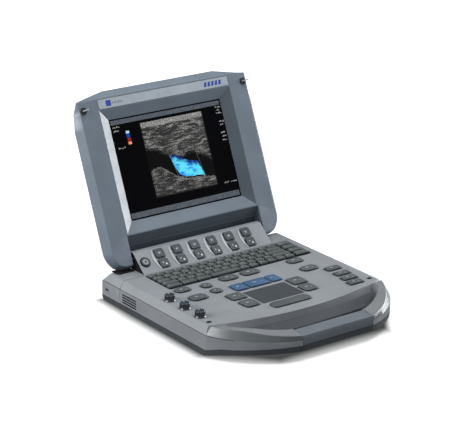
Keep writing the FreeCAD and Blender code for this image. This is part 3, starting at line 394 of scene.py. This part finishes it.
def crisp_normals(shape, rounded):
    """A normal for every corner: flat faces stay flat and the rounded strips blend into them."""
    shape.normal_update()
    areas = {face: face.calc_area() for face in shape.faces}
    level = math.cos(LEVEL_ANGLE)
    normals = []
    for face in shape.faces:
        for loop in face.loops:
            flats = [other for other in loop.vert.link_faces if other not in rounded]
            facing = face.normal
            if face in rounded and flats:
                facing = max(flats, key=lambda other: other.normal.dot(face.normal)).normal
            near = [other for other in flats or loop.vert.link_faces
                    if other.normal.dot(facing) > level]
            total = sum((other.normal * areas[other] for other in near), Vector())
            normals.append(total.normalized() if total.length > 0 else face.normal.copy())
    return normals


def paint_nodes():
    """Give every CAD node that stays its slot's material."""
    for node, thing in frame["nodes"].items():
        thing.data.materials.clear()
        thing.data.materials.append(MATERIALS[SLOT_OF[node]])
        smooth_by_angle(thing.data)


class Plane:
    """A flat place on the object: an origin, a direction across, one up and one out of the face."""

    def __init__(self, origin, across, up, out):
        self.origin, self.across, self.up, self.out = origin, across, up, out

    def at(self, x, y, rise):
        """A point, from millimetres across, up and out."""
        return self.origin + (self.across * x + self.up * y + self.out * rise) * MM

    def extents(self, node):
        """Lowest and highest of a node's vertices along the plane's three directions, in mm."""
        offsets = [vertex.co - self.origin for vertex in frame["nodes"][node].data.vertices]
        return [(min(o.dot(way) for o in offsets) / MM, max(o.dot(way) for o in offsets) / MM)
                for way in (self.across, self.up, self.out)]


def flat_mesh(name, plane, outlines, rise, uv_box=None):
    """Thin plates on a plane: each outline is a list of (x, y) in mm."""
    shape = bmesh.new()
    layer = shape.loops.layers.uv.new("UVMap")
    for outline in outlines:
        face = shape.faces.new([shape.verts.new(plane.at(x, y, rise)) for x, y in outline])
        for loop, (x, y) in zip(face.loops, outline):
            if uv_box:
                low_x, low_y, high_x, high_y = uv_box
                loop[layer].uv = ((x - low_x) / (high_x - low_x), (y - low_y) / (high_y - low_y))
    shape.normal_update()
    return finished_mesh(shape, name)


def raised_mesh(name, plane, outlines, low, high, shrink=0.1):
    """Low blocks standing on a plane, their tops a little smaller than their feet."""
    shape = bmesh.new()
    for outline in outlines:
        middle_x = sum(x for x, _ in outline) / len(outline)
        middle_y = sum(y for _, y in outline) / len(outline)
        reach = max(math.hypot(x - middle_x, y - middle_y) for x, y in outline)
        scale = 1 - shrink / reach
        feet = [shape.verts.new(plane.at(x, y, low)) for x, y in outline]
        tops = [shape.verts.new(plane.at(middle_x + (x - middle_x) * scale,
                                         middle_y + (y - middle_y) * scale, high))
                for x, y in outline]
        shape.faces.new(tops)
        shape.faces.new(feet[::-1])
        for i in range(len(outline)):
            j = (i + 1) % len(outline)
            shape.faces.new((feet[i], feet[j], tops[j], tops[i]))
    bmesh.ops.recalc_face_normals(shape, faces=shape.faces)
    mesh = finished_mesh(shape, name)
    smooth_by_angle(mesh)
    return mesh


def ring_mesh(name, plane, rings, low, high):
    """Low raised rings: each one an outer and an inner outline with as many points."""
    shape = bmesh.new()
    for outer, inner in rings:
        count = len(outer)
        levels = [[shape.verts.new(plane.at(x, y, rise)) for x, y in outline]
                  for outline, rise in ((outer, low), (outer, high), (inner, high), (inner, low))]
        for here, there in zip(levels, levels[1:] + levels[:1]):
            for i in range(count):
                j = (i + 1) % count
                shape.faces.new((here[i], here[j], there[j], there[i]))
    bmesh.ops.recalc_face_normals(shape, faces=shape.faces)
    mesh = finished_mesh(shape, name)
    smooth_by_angle(mesh)
    return mesh


def outline_of(node, plane, out):
    """A convex node's outline seen along a plane's normal, moved outwards, in mm."""
    flat = sorted({(round((v.co - plane.origin).dot(plane.across) / MM, 2),
                    round((v.co - plane.origin).dot(plane.up) / MM, 2))
                   for v in frame["nodes"][node].data.vertices})
    points = [flat[i] for i in geometry.convex_hull_2d(flat)]
    moved = []
    for i, (x, y) in enumerate(points):
        (x0, y0), (x1, y1) = points[i - 1], points[(i + 1) % len(points)]
        ways = []
        for dx, dy in ((x - x0, y - y0), (x1 - x, y1 - y)):
            length = math.hypot(dx, dy)
            ways.append((dy / length, -dx / length))
        way_x, way_y = ways[0][0] + ways[1][0], ways[0][1] + ways[1][1]
        length = math.hypot(way_x, way_y)
        moved.append((x + way_x / length * out, y + way_y / length * out))
    return moved


def box_outline(x0, y0, x1, y1):
    """Rectangle between two corners."""
    return [(x0, y0), (x1, y0), (x1, y1), (x0, y1)]


def disc_outline(x, y, radius, count=24):
    """Many-sided disc round a place."""
    turns = [2 * math.pi * i / count for i in range(count)]
    return [(x + radius * math.cos(turn), y + radius * math.sin(turn)) for turn in turns]


ROUND_STEPS = 5


def rounded_outline(x0, y0, x1, y1, radius):
    """Rectangle with round corners."""
    points = []
    for corner_x, corner_y, start in ((x1 - radius, y0 + radius, -90), (x1 - radius, y1 - radius, 0),
                                      (x0 + radius, y1 - radius, 90), (x0 + radius, y0 + radius, 180)):
        for i in range(ROUND_STEPS + 1):
            turn = math.radians(start + 90 * i / ROUND_STEPS)
            points.append((corner_x + radius * math.cos(turn), corner_y + radius * math.sin(turn)))
    return points


# ---------------------------------------------------------------- planes and places
LID_TURN = math.radians(66.55)
HOOK_ACROSS, HOOK_UP, SEAT_REACH = 124.6, 194, 4
INSIDE_ACROSS, INSIDE_UP, INSIDE_DEPTH = 131, 192, 1.2
SURROUND_ACROSS, SURROUND_LOW, SURROUND_HIGH = 104, 20, 193
LID = Plane(Vector(JOINTS["lid_hinge"]["pos_m"]), ACROSS,
            Vector((0, math.cos(LID_TURN), math.sin(LID_TURN))),
            Vector((0, -math.sin(LID_TURN), math.cos(LID_TURN))))
PANEL_OUT = -Vector(JOINTS["power_button_press"]["axis"])
PANEL = Plane(Vector((0, 0, 0)), ACROSS, PANEL_OUT.cross(ACROSS), PANEL_OUT)
DECK = Plane(Vector((0, 0, 0)), ACROSS, Vector((0, 1, 0)), Vector((0, 0, 1)))
DECK_KEYS = ("pill_key", "side_key", "pad_key", "blue_key")


LEFT_WALL, VENT_FRONT, VENT_LOW, VENT_HIGH = -0.130, 0.02, 0.0110, 0.0255


def in_side_openings(spot):
    """Whether a spot is at the louvres of the left wall."""
    return spot.x < LEFT_WALL and spot.y > VENT_FRONT and VENT_LOW < spot.z < VENT_HIGH


def at_hook_or_pin(spot):
    """Whether a spot of the bezel is at a hook's seat, at a pin's bore or inside the lid."""
    place = spot - LID.origin
    up_lid, out = place.dot(LID.up) / MM, place.dot(LID.out) / MM
    aside = abs(spot.x) / MM
    at_hook = abs(aside - HOOK_ACROSS) < SEAT_REACH and abs(up_lid - HOOK_UP) < SEAT_REACH
    at_pin = math.hypot(up_lid, out) < SEAT_REACH
    inside = out < INSIDE_DEPTH and abs(up_lid) < INSIDE_UP and aside < INSIDE_ACROSS
    return at_hook or at_pin or (inside and not at_surround(aside, up_lid))


def at_surround(aside, up_lid):
    """Whether a place on the lid is at the screen's sloped surround, its upper corners left out."""
    in_corner = aside > 95 and up_lid > 191
    return aside < SURROUND_ACROSS and SURROUND_LOW < up_lid < SURROUND_HIGH and not in_corner


def casing():
    """Casing pieces with softly rounded edges."""
    shade_arms(refined("side_shell", 0.6, in_side_openings))
    for node, bevel in (("top_cover", 0.4), ("handle_grip", 1.2), ("key_panel", 0.5),
                        ("name_strip", 0.3), ("touchpad", 0.3)):
        refined(node, bevel)
    shade_recess(refined("lid_bezel", 0.6, at_hook_or_pin, merge=False))
    shade_recess(refined("lid_back_cover", 0.9))


def repaint(piece, chosen):
    """Give a piece's faces other materials: chosen names one for a face, or says None."""
    used = []
    for polygon in piece.data.polygons:
        material = chosen(polygon.center, polygon.normal)
        if material and material not in used:
            used.append(material)
            piece.data.materials.append(MATERIALS[material])
        if material:
            polygon.material_index = 1 + used.index(material)


def shade_arms(frame_piece):
    """The handle's arms are glossier, with painted shade on their tops and upper slants; the louvres' slot walls
    are painted dark for the shade in them.
    """
    arms_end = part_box("side_shell")[0][1] + 79 * MM

    def chosen(center, normal):
        # Painted shade on the arms' tops and upper slants, chosen by which way the faces turn
        if center.y < arms_end and center.z > 27.5 * MM and normal.z > 0.25:
            return "arm_top_shade" if normal.z > 0.93 else "arm_slant_shade"
        # Painted shade: the louvres' slot walls are made dark
        return "black_and_shade" if in_side_openings(center) and abs(normal.x) < 0.5 else None

    repaint(frame_piece, chosen)


def shade_recess(lid_piece):
    """Painted shade: the sloped face above the key panel and the surround's right side get darker copies of the
    lid's colour.
    """
    def chosen(center, normal):
        if normal.y < -0.9 and normal.z < -0.2:
            return "lid_recess_shade"
        return "lid_side_shade" if normal.x < -0.25 and center.x > 0 else None

    repaint(lid_piece, chosen)


def screen():
    """What the display shows, as thin lit layers just in front of its glass."""
    (left, right), (low, high), (_, face) = LID.extents("lcd_panel")
    middle_x, middle_y = (left + right) / 2, (low + high) / 2
    plane = Plane(LID.at(middle_x, middle_y, face), LID.across, LID.up, LID.out)

    def layer(name, material, outlines, rise, uv_box=None):
        mesh = flat_mesh(name, plane, outlines, rise, uv_box)
        return link_piece(name, mesh, material, "lid")

    bar_end = 85.3
    layer("screen_bars", "screen_bar", [box_outline(-bar_end, 57.9, bar_end, 63.6),
                                        box_outline(-bar_end, -63.1, bar_end, -56.1)], 0.05)
    scan_box = (-43, -44.5, 55.5, 54.0)
    layer("screen_scan", "screen_scan", [box_outline(*scan_box)], 0.05, scan_box)
    flow_box = (-9.2, -27.8, 38.6, 6.3)
    layer("screen_flow", "flow_core",
          [[(-9.2, 5.6), (-3, 6.3), (2, 4.0), (7, 1.6), (13, -2.0), (20, -5.2), (27, -6.6), (32, -7.0),
            (34.5, -15), (38.6, -27.8), (33, -26.4), (27, -25.8), (21, -26.2), (15, -25.4), (10, -24.8),
            (5.5, -22.6), (1, -20.6), (-2, -14), (-4, -10), (-6.4, -3)]], 0.09, flow_box)
    window = [(-8.6, 6.5), (31.2, 11.2), (38.9, -28.6), (-0.5, -27.6)]
    layer("screen_flow_window", "screen_line",
          [stroke(window[i], window[(i + 1) % 4], 0.5) for i in range(4)], 0.13)
    layer("screen_scale_white", "bar_white", [box_outline(-65.5, 44.5, -60.5, 47.8)], 0.07)
    layer("screen_scale_blue", "bar_blue", [box_outline(-65.5, 39, -60.5, 44.5)], 0.06)
    layer("screen_scale_red", "bar_red", [box_outline(-65.0, 33.5, -60.0, 38.6)], 0.06)
    layer("screen_scale_orange", "bar_orange", [box_outline(-65.0, 30.3, -60.0, 33.5)], 0.07)
    ticks = random.Random(4)
    words = []
    for x, y, width in ((-83.5, 53.6, 9.5), (-83.5, 48.6, 8), (-81, 26.4, 10), (77.5, 54.2, 8),
                        (78, 50.4, 6), (77.5, 46.2, 8), (79.3, 35, 6.5), (80, 31, 5), (78.5, 20.5, 6),
                        (79, 15.5, 6), (78.5, 10.5, 6), (66, -44.6, 7), (76.5, -44.8, 8)):
        along = 0.0
        while along < width:
            long = ticks.uniform(0.5, 1.3)
            low_end = y + ticks.uniform(0.0, 0.8)
            words.append(box_outline(x + along, low_end, x + along + long,
                                     low_end + ticks.uniform(0.5, 1.9)))
            along += long + ticks.uniform(0.4, 0.9)
    layer("screen_words", "screen_text", words, 0.06)


def stroke(start, end, width):
    """Thin quadrilateral along a line."""
    x, y = end[0] - start[0], end[1] - start[1]
    length = math.hypot(x, y)
    off_x, off_y = -y / length * width / 2, x / length * width / 2
    return [(start[0] + off_x, start[1] + off_y), (start[0] - off_x, start[1] - off_y),
            (end[0] - off_x, end[1] - off_y), (end[0] + off_x, end[1] + off_y)]


def key_plane(node, plane):
    """A plane on the middle of a key's top, with the key's half width."""
    (left, right), (low, high), (_, top) = plane.extents(node)
    middle = plane.at((left + right) / 2, (low + high) / 2, top)
    return Plane(middle, plane.across, plane.up, plane.out), (right - left) / 2


RAYS, RAY_TURN = 5, 1.256


def function_key_legends():
    """Pale signs: a small and a large disc on each lower function key, rays on each upper one."""
    for row in ("lower", "upper"):
        for column in range(1, 7):
            node = f"function_key_{row}_{column}"
            plane, _ = key_plane(node, PANEL)
            if row == "lower":
                signs = [disc_outline(-1.6, 0.8, 0.9, 10), disc_outline(2.4, -1.8, 1.4, 10)]
            else:
                signs = [disc_outline(-0.4, 0.2, 1.0, 10)]
                for turn in range(RAYS):
                    x, y = math.cos(RAY_TURN * turn + 0.4), math.sin(RAY_TURN * turn + 0.4)
                    signs.append(stroke((-0.4 + 1.6 * x, 0.2 + 1.5 * y),
                                        (-0.4 + 3.1 * x, 0.2 + 2.7 * y), 0.4))
            mesh = raised_mesh(f"{node}_legend", plane, signs, -0.05, 0.06)
            link_piece(f"{node}_legend", mesh, "legend", node)


def panel_trim():
    """A bright curved ridge at the left of each pair of function keys."""
    surface = PANEL.extents("key_panel")[2][1]
    steps = 16
    for column in range(1, 7):
        (left, _), (low, _), _ = PANEL.extents(f"function_key_lower_{column}")
        high = PANEL.extents(f"function_key_upper_{column}")[1][1]
        outer, inner = [], []
        for i in range(steps + 1):
            t = i / steps
            bow = 1 - (2 * t - 1) ** 2
            up = low - 0.2 + (high - low - 0.6) * t
            middle = left + 0.3 - 2.4 * t - 2.6 * bow
            outer.append((middle - 0.35 - 0.75 * bow, up))
            inner.append((middle + 0.35 + 0.55 * bow, up))
        mesh = raised_mesh(f"panel_trim_{column}", PANEL, [outer + inner[::-1]],
                           surface - 0.2, surface + 0.9)
        link_piece(f"panel_trim_{column}", mesh, "trim", "base")


def typing_legends():
    """A small pale sign on every typing key."""
    picks = random.Random(11)
    for node in ("typing_keys", "edge_keys"):
        signs = []
        for x, y, half_width in loose_tops(node):
            left = x - half_width + 2.6
            signs.append(box_outline(left, y + 0.2, left + picks.uniform(1.2, 2.2), y + 2.2))
            if picks.random() < 0.4:
                second = left + 3.2
                signs.append(box_outline(second, y - 2.4, second + picks.uniform(1, 2), y - 0.9))
        top = DECK.extents(node)[2][1]
        mesh = raised_mesh(f"{node}_legends", DECK, signs, top - 0.05, top + 0.05)
        link_piece(f"{node}_legends", mesh, "legend_dim", BODY_OF[node])


def loose_tops(node):
    """Middle and half width, in mm, of each separate cap of a node."""
    shape = bmesh.new()
    shape.from_mesh(frame["nodes"][node].data)
    bmesh.ops.remove_doubles(shape, verts=shape.verts, dist=0.001 * MM)
    seen, caps = set(), []
    for start in shape.verts:
        if start in seen:
            continue
        group, queue = [], [start]
        seen.add(start)
        while queue:
            vertex = queue.pop()
            group.append(vertex.co)
            for edge in vertex.link_edges:
                other = edge.other_vert(vertex)
                if other not in seen:
                    seen.add(other)
                    queue.append(other)
        xs = [co.x / MM for co in group]
        ys = [co.y / MM for co in group]
        caps.append(((min(xs) + max(xs)) / 2, (min(ys) + max(ys)) / 2, (max(xs) - min(xs)) / 2))
    shape.free()
    return caps


def deck_legends():
    """Small pale signs on the oval, pad-side and column keys."""
    for node in frame["nodes"]:
        if not node.startswith(DECK_KEYS):
            continue
        plane, half_width = key_plane(node, DECK)
        signs = [rounded_outline(-half_width * 0.35, 0.4, half_width * 0.05, 1.7, 0.4),
                 disc_outline(half_width * 0.35, -1.6, 0.8, 12)]
        mesh = raised_mesh(f"{node}_legend", plane, signs, -0.05, 0.05)
        link_piece(f"{node}_legend", mesh, "legend_mid", node)


def well_floor():
    """Dark floor under the typing keys."""
    (left, _), (front, back), (low, _) = DECK.extents("typing_keys")
    right = DECK.extents("edge_keys")[0][1]
    outline = box_outline(left - 2.2, front - 2.6, right + 2.2, back + 1.4)
    mesh = flat_mesh("well_floor", DECK, [outline], low - 1.3)
    link_piece("well_floor", mesh, "well_dark", "base")


def strip_marks():
    """Plain blue and grey signs on the name strip."""
    (left, right), (low, high), (_, face) = LID.extents("name_strip")
    middle = (low + high) / 2
    plane = Plane(LID.at(0, middle, face), LID.across, LID.up, LID.out)
    left_sign = [rounded_outline(left + 11, -3.8, left + 18.5, 3.8, 1.2)]
    right_sign = [[(x, -3.0), (x + 3.6, -3.0), (x + 5.2, 3.0), (x + 1.6, 3.0)]
                  for x in (right - back for back in (39, 33.2, 27.4, 21.6, 15.8))]
    mesh = raised_mesh("strip_signs", plane, left_sign + right_sign, -0.05, 0.12)
    link_piece("strip_signs", mesh, "mark_blue", "lid")
    picks = random.Random(7)
    bars = [box_outline(x, -1.6, x + 1.3, picks.uniform(0.2, 2.4))
            for x in (left + 20.5 + 2.3 * i for i in range(7))]
    mesh = raised_mesh("strip_bars", plane, bars, -0.05, 0.10)
    link_piece("strip_bars", mesh, "mark_grey", "lid")


def lid_facets():
    """A round screw cover, and paler patches on the lower corners of the lid's front: a painted highlight."""
    face = LID.extents("lid_bezel")[2][1]
    screw_x, screw_y = -123.5, 7
    rings = [(disc_outline(screw_x, screw_y, 2.5), disc_outline(screw_x, screw_y, 2.0))]
    mesh = ring_mesh("lid_screw_cover", LID, rings, face - 0.05, face + 0.08)
    link_piece("lid_screw_cover", mesh, "lid_line", "lid")
    # Painted highlight: paler patches where light from above catches the lid's lower corners
    corner = [(104.3, 30.0), (109.5, 28.9), (114, 26.8), (117.9, 24.5), (122, 21.8), (125.6, 18.9),
              (129.4, 14.5), (129.4, 11), (127.6, 4.4), (123.6, -2.0), (117.6, -5.2), (104.3, -6.0)]
    outlines = [[(-x, y) for x, y in corner[::-1]], corner]
    mesh = raised_mesh("lid_corner_highlights", LID, outlines, face - 0.05, face + 0.1, shrink=0.05)
    link_piece("lid_corner_highlights", mesh, "lid_corner_highlight", "lid")


def power_ring():
    """Dark ring round the power button and a pale ring on its top."""
    surface = PANEL.extents("key_panel")[2][1]
    plane, half = key_plane("power_button", PANEL)
    (left, right), (low, high), _ = PANEL.extents("power_button")
    x, y = (left + right) / 2, (low + high) / 2
    collar = [(disc_outline(x, y, half + 1.1, 32), disc_outline(x, y, half + 0.25, 32))]
    mesh = ring_mesh("power_collar", PANEL, collar, surface - 0.1, surface + 0.8)
    link_piece("power_collar", mesh, "black_and_shade", "base")
    sign = [(disc_outline(0, 0, half * 0.55), disc_outline(0, 0, half * 0.38))]
    mesh = ring_mesh("power_sign", plane, sign, -0.05, 0.06)
    link_piece("power_sign", mesh, "legend_mid", "power_button")


def key_gaps():
    """Dark rings in the gaps round the keys that stand on their own: painted shade in those gaps."""
    for group, starts, plane, surface_node in (
        ("function_key", "function_key", PANEL, "key_panel"), ("deck", DECK_KEYS, DECK, "top_cover"),
    ):
        surface = plane.extents(surface_node)[2][1]
        nodes = [node for node in frame["nodes"] if node.startswith(starts)]
        rings = [(outline_of(node, plane, 0.75), outline_of(node, plane, 0.12)) for node in nodes]
        # Painted shade: near-black rings in the gaps round the keys
        mesh = ring_mesh(f"{group}_gaps", plane, rings, surface - 0.1, surface + 0.03)
        link_piece(f"{group}_gaps", mesh, "black_and_shade", "base")


KNOB_RIBS = 20


def knob_ribs():
    """Grip ribs round each knob and a pale pointer on its top."""
    for node in ("knob_back", "knob_middle", "knob_front"):
        (left, front, _), (right, back, top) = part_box(node)
        middle = Plane(Vector(((left + right) / 2, (front + back) / 2, top)), ACROSS,
                       Vector((0, 1, 0)), Vector((0, 0, 1)))
        radius = (right - left) / 2 / MM - 1.1
        ribs = []
        inner, outer = radius - 0.5, radius + 0.35
        for i in range(KNOB_RIBS):
            turn = math.pi * i / (KNOB_RIBS / 2)
            x, y = math.cos(turn), math.sin(turn)
            ribs.append(stroke((x * inner, y * inner), (x * outer, y * outer), 0.9))
        mesh = raised_mesh(f"{node}_ribs", middle, ribs, -6.2, -1.3, shrink=0.05)
        link_piece(f"{node}_ribs", mesh, "black_plastic", node)
        pointer = stroke((0, 1.2), (0, radius - 1.6), 0.7)
        mesh = raised_mesh(f"{node}_pointer", middle, [pointer], -0.05, 0.06)
        link_piece(f"{node}_pointer", mesh, "legend", node)


def vent_screen():
    """Dark woven screen behind the louvres of the left wall, and a dark plate behind it: painted shade inside the
    louvres.
    """
    plane = Plane(Vector((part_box("side_shell")[0][0], CAP_SEAM, 0)), Vector((0, -1, 0)),
                  Vector((0, 0, 1)), Vector((-1, 0, 0)))
    spacing = 0.9
    wires = [box_outline(4, 10.8 + spacing * i, 38, 11.2 + spacing * i) for i in range(15)]
    wires += [box_outline(4 + spacing * i, 10.8, 4.4 + spacing * i, 24.2) for i in range(38)]
    mesh = raised_mesh("vent_screen", plane, wires, -3.4, -3.1, shrink=0.02)
    link_piece("vent_screen", mesh, "black_and_shade", "base")
    # Painted shade: a dark plate inside the wall stands for the shade behind the louvres
    mesh = raised_mesh("vent_shade_plate", plane, [box_outline(3, 10.4, 39, 24.6)], -3.9, -3.5)
    link_piece("vent_shade_plate", mesh, "black_and_shade", "base")


def panel_ends():
    """Painted shade on the key panel's upright ends, and a dark plate on the deck under the lid's left corner: a
    painted shadow of the lid.
    """
    # Painted shade: the key panel's upright ends are made dark
    repaint(bpy.data.objects["key_panel_finished"],
            lambda center, normal: "black_and_shade" if abs(normal.x) > 0.9 else None)
    surface = DECK.extents("top_cover")[2][1]
    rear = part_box("rear_cap")[1][1] / MM
    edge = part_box("key_panel")[0][0] / MM
    # Painted shadow: a dark plate on the deck where the lid's shadow falls
    outline = rounded_outline(-128, rear - 23, edge - 0.8, rear - 6, 4)
    mesh = raised_mesh("lid_shadow_plate", DECK, [outline], surface - 0.1, surface + 0.25)
    link_piece("lid_shadow_plate", mesh, "black_and_shade", "base")


# ---------------------------------------------------------------- stage, light, camera
FLOOR_REACH = 12.0
# Brightness of the painted shadow right under the scanner
PAINTED_SHADOW_LEVEL = 0.10
# Where the painted shadow under the scanner ends and how far it fades, in metres
PATCH_LEFT, PATCH_RIGHT, PATCH_FRONT = (0.131, 0.023), (0.134, 0.012), (0.164, 0.024)
PATCH_SLANT, PATCH_REAR, PATCH_CORNER = (0.174, 0.024), (0.103, 0.011), (0.175, 0.012)
SLANT_MIDDLE = 0.014


def painted_floor_shadow(g, across, along):
    """Brightness of the painted shadow on the floor: lowest under the scanner and 1 away from it."""
    def beyond(distance, limits):
        edge, fade = limits
        return g.math("DIVIDE", g.math("SUBTRACT", distance, edge), fade)

    left = beyond(g.math("MULTIPLY", across, -1.0), PATCH_LEFT)
    right = beyond(across, PATCH_RIGHT)
    front = beyond(g.math("MULTIPLY", along, -1.0), PATCH_FRONT)
    aside = g.math("ABSOLUTE", g.math("SUBTRACT", across, SLANT_MIDDLE))
    slant = beyond(g.math("MULTIPLY", g.math("SUBTRACT", aside, along), 0.707), PATCH_SLANT)
    turned = g.math("SUBTRACT", g.math("MULTIPLY", across, 0.797), g.math("MULTIPLY", along, 0.604))
    corner = beyond(turned, PATCH_CORNER)
    off = beyond(along, PATCH_REAR)
    for side in (left, right, front, slant, corner):
        off = g.math("MAXIMUM", off, side)
    return g.span(off, 0.0, 1.0, PAINTED_SHADOW_LEVEL, 1.0)


def stage():
    """Plain pale floor with a painted shadow under the scanner; it glows by itself, more further out, and more
    again behind the scanner, a painted light that washes out the lid's shadow there.
    """
    shape = bmesh.new()
    bmesh.ops.create_grid(shape, x_segments=1, y_segments=1, size=FLOOR_REACH)
    mesh = finished_mesh(shape, "floor")
    floor = bpy.data.objects.new("floor", mesh)
    bpy.context.scene.collection.objects.link(floor)
    g = Graph("floor")
    spot = g.add("ShaderNodeSeparateXYZ")
    g.feed(spot.inputs[0], g.place)
    across, along = spot.outputs[0], spot.outputs[1]
    # Painted shadow: the floor's colour and glow are darkened under the scanner
    painted_shadow_brightness = painted_floor_shadow(g, across, along)
    g.feed(g.shader.inputs["Base Color"],
           g.mix(painted_shadow_brightness, (0.0, 0.0, 0.0, 1), (0.93, 0.93, 0.93, 1)))
    g.shader.inputs["Roughness"].default_value = 0.9
    g.shader.inputs["Specular IOR Level"].default_value = 0.1
    reach = g.add("ShaderNodeVectorMath", operation="LENGTH")
    g.feed(reach.inputs[0], g.place)
    g.shader.inputs["Emission Color"].default_value = (1, 1, 1, 1)
    glow = g.span(reach.outputs["Value"], 0.25, 1.3, 0.52, 0.9)
    # Painted light: extra glow behind the scanner washes out the lid's shadow on the floor
    glow = g.math("ADD", glow, g.span(along, 0.02, 0.16, 0.0, 0.42))
    g.feed(g.shader.inputs["Emission Strength"], g.math("MULTIPLY", glow, painted_shadow_brightness))
    mesh.materials.append(g.material)
    floor.visible_diffuse = False
    floor.visible_glossy = False
    return floor


def area_light(name, place, aim, width, height, power, skipped=None):
    """Soft box at a place in metres, turned to face aim, that may leave one piece unlit."""
    data = bpy.data.lights.new(name, "AREA")
    data.shape = "RECTANGLE"
    data.size, data.size_y = width, height
    data.energy = power
    light = bpy.data.objects.new(name, data)
    light.location = place
    light.rotation_euler = (Vector(aim) - Vector(place)).to_track_quat("-Z", "Y").to_euler()
    bpy.context.scene.collection.objects.link(light)
    if skipped:
        unlit = bpy.data.collections.new(f"{name}_unlit")
        unlit.objects.link(skipped)
        light.light_linking.receiver_collection = unlit
        unlit.collection_objects[0].light_linking.link_state = "EXCLUDE"


LIT_PLACE = (0, 0, 0.1)


def lights(floor):
    """Soft boxes at the front above, behind above, at the left and at the right of the scanner.

    Only the front one and the room light the floor, so the shadow stays close to the scanner.
    """
    world = bpy.data.worlds.new("studio")
    world.use_nodes = True
    background = world.node_tree.nodes["Background"]
    background.inputs["Color"].default_value = (0.92, 0.96, 1.0, 1)
    background.inputs["Strength"].default_value = 0.20
    bpy.context.scene.world = world
    area_light("top_box", (0.15, -0.75, 1.75), LIT_PLACE, 0.9, 0.7, 17)
    area_light("back_box", (0.2, 0.5, 1.8), LIT_PLACE, 1.4, 1.2, 5, floor)
    area_light("left_box", (-1.5, 0.38, 0.85), LIT_PLACE, 1.2, 1.0, 27, floor)
    area_light("right_box", (1.6, 0.0, 0.35), LIT_PLACE, 1.3, 0.9, 29, floor)
    bpy.context.scene.view_settings.view_transform = "Standard"


CAMERA_PLACE = Vector((-1.42806, -1.84788, 0.94593))
CAMERA_BACK = Vector((-0.56901, -0.75005, 0.33712))
CAMERA_ROLL = math.radians(0.910)
LENS, SENSOR_WIDTH = 160.02, 36


def camera():
    """Long lens from the front left, a little above."""
    back = CAMERA_BACK.normalized()
    level = Vector((0, 0, 1)).cross(back).normalized()
    upright = back.cross(level)
    right = level * math.cos(CAMERA_ROLL) + upright * math.sin(CAMERA_ROLL)
    up = back.cross(right)
    data = bpy.data.cameras.new("camera")
    data.lens = LENS
    data.sensor_width = SENSOR_WIDTH
    data.clip_end = 60
    eye = bpy.data.objects.new("camera", data)
    turn = Matrix((right, up, back)).transposed()
    eye.matrix_world = Matrix.Translation(CAMERA_PLACE) @ turn.to_4x4()
    bpy.context.scene.collection.objects.link(eye)
    bpy.context.scene.camera = eye


paint_nodes()
casing()
screen()
function_key_legends()
panel_trim()
typing_legends()
deck_legends()
well_floor()
strip_marks()
lid_facets()
power_ring()
key_gaps()
knob_ribs()
vent_screen()
panel_ends()
lights(stage())
camera()
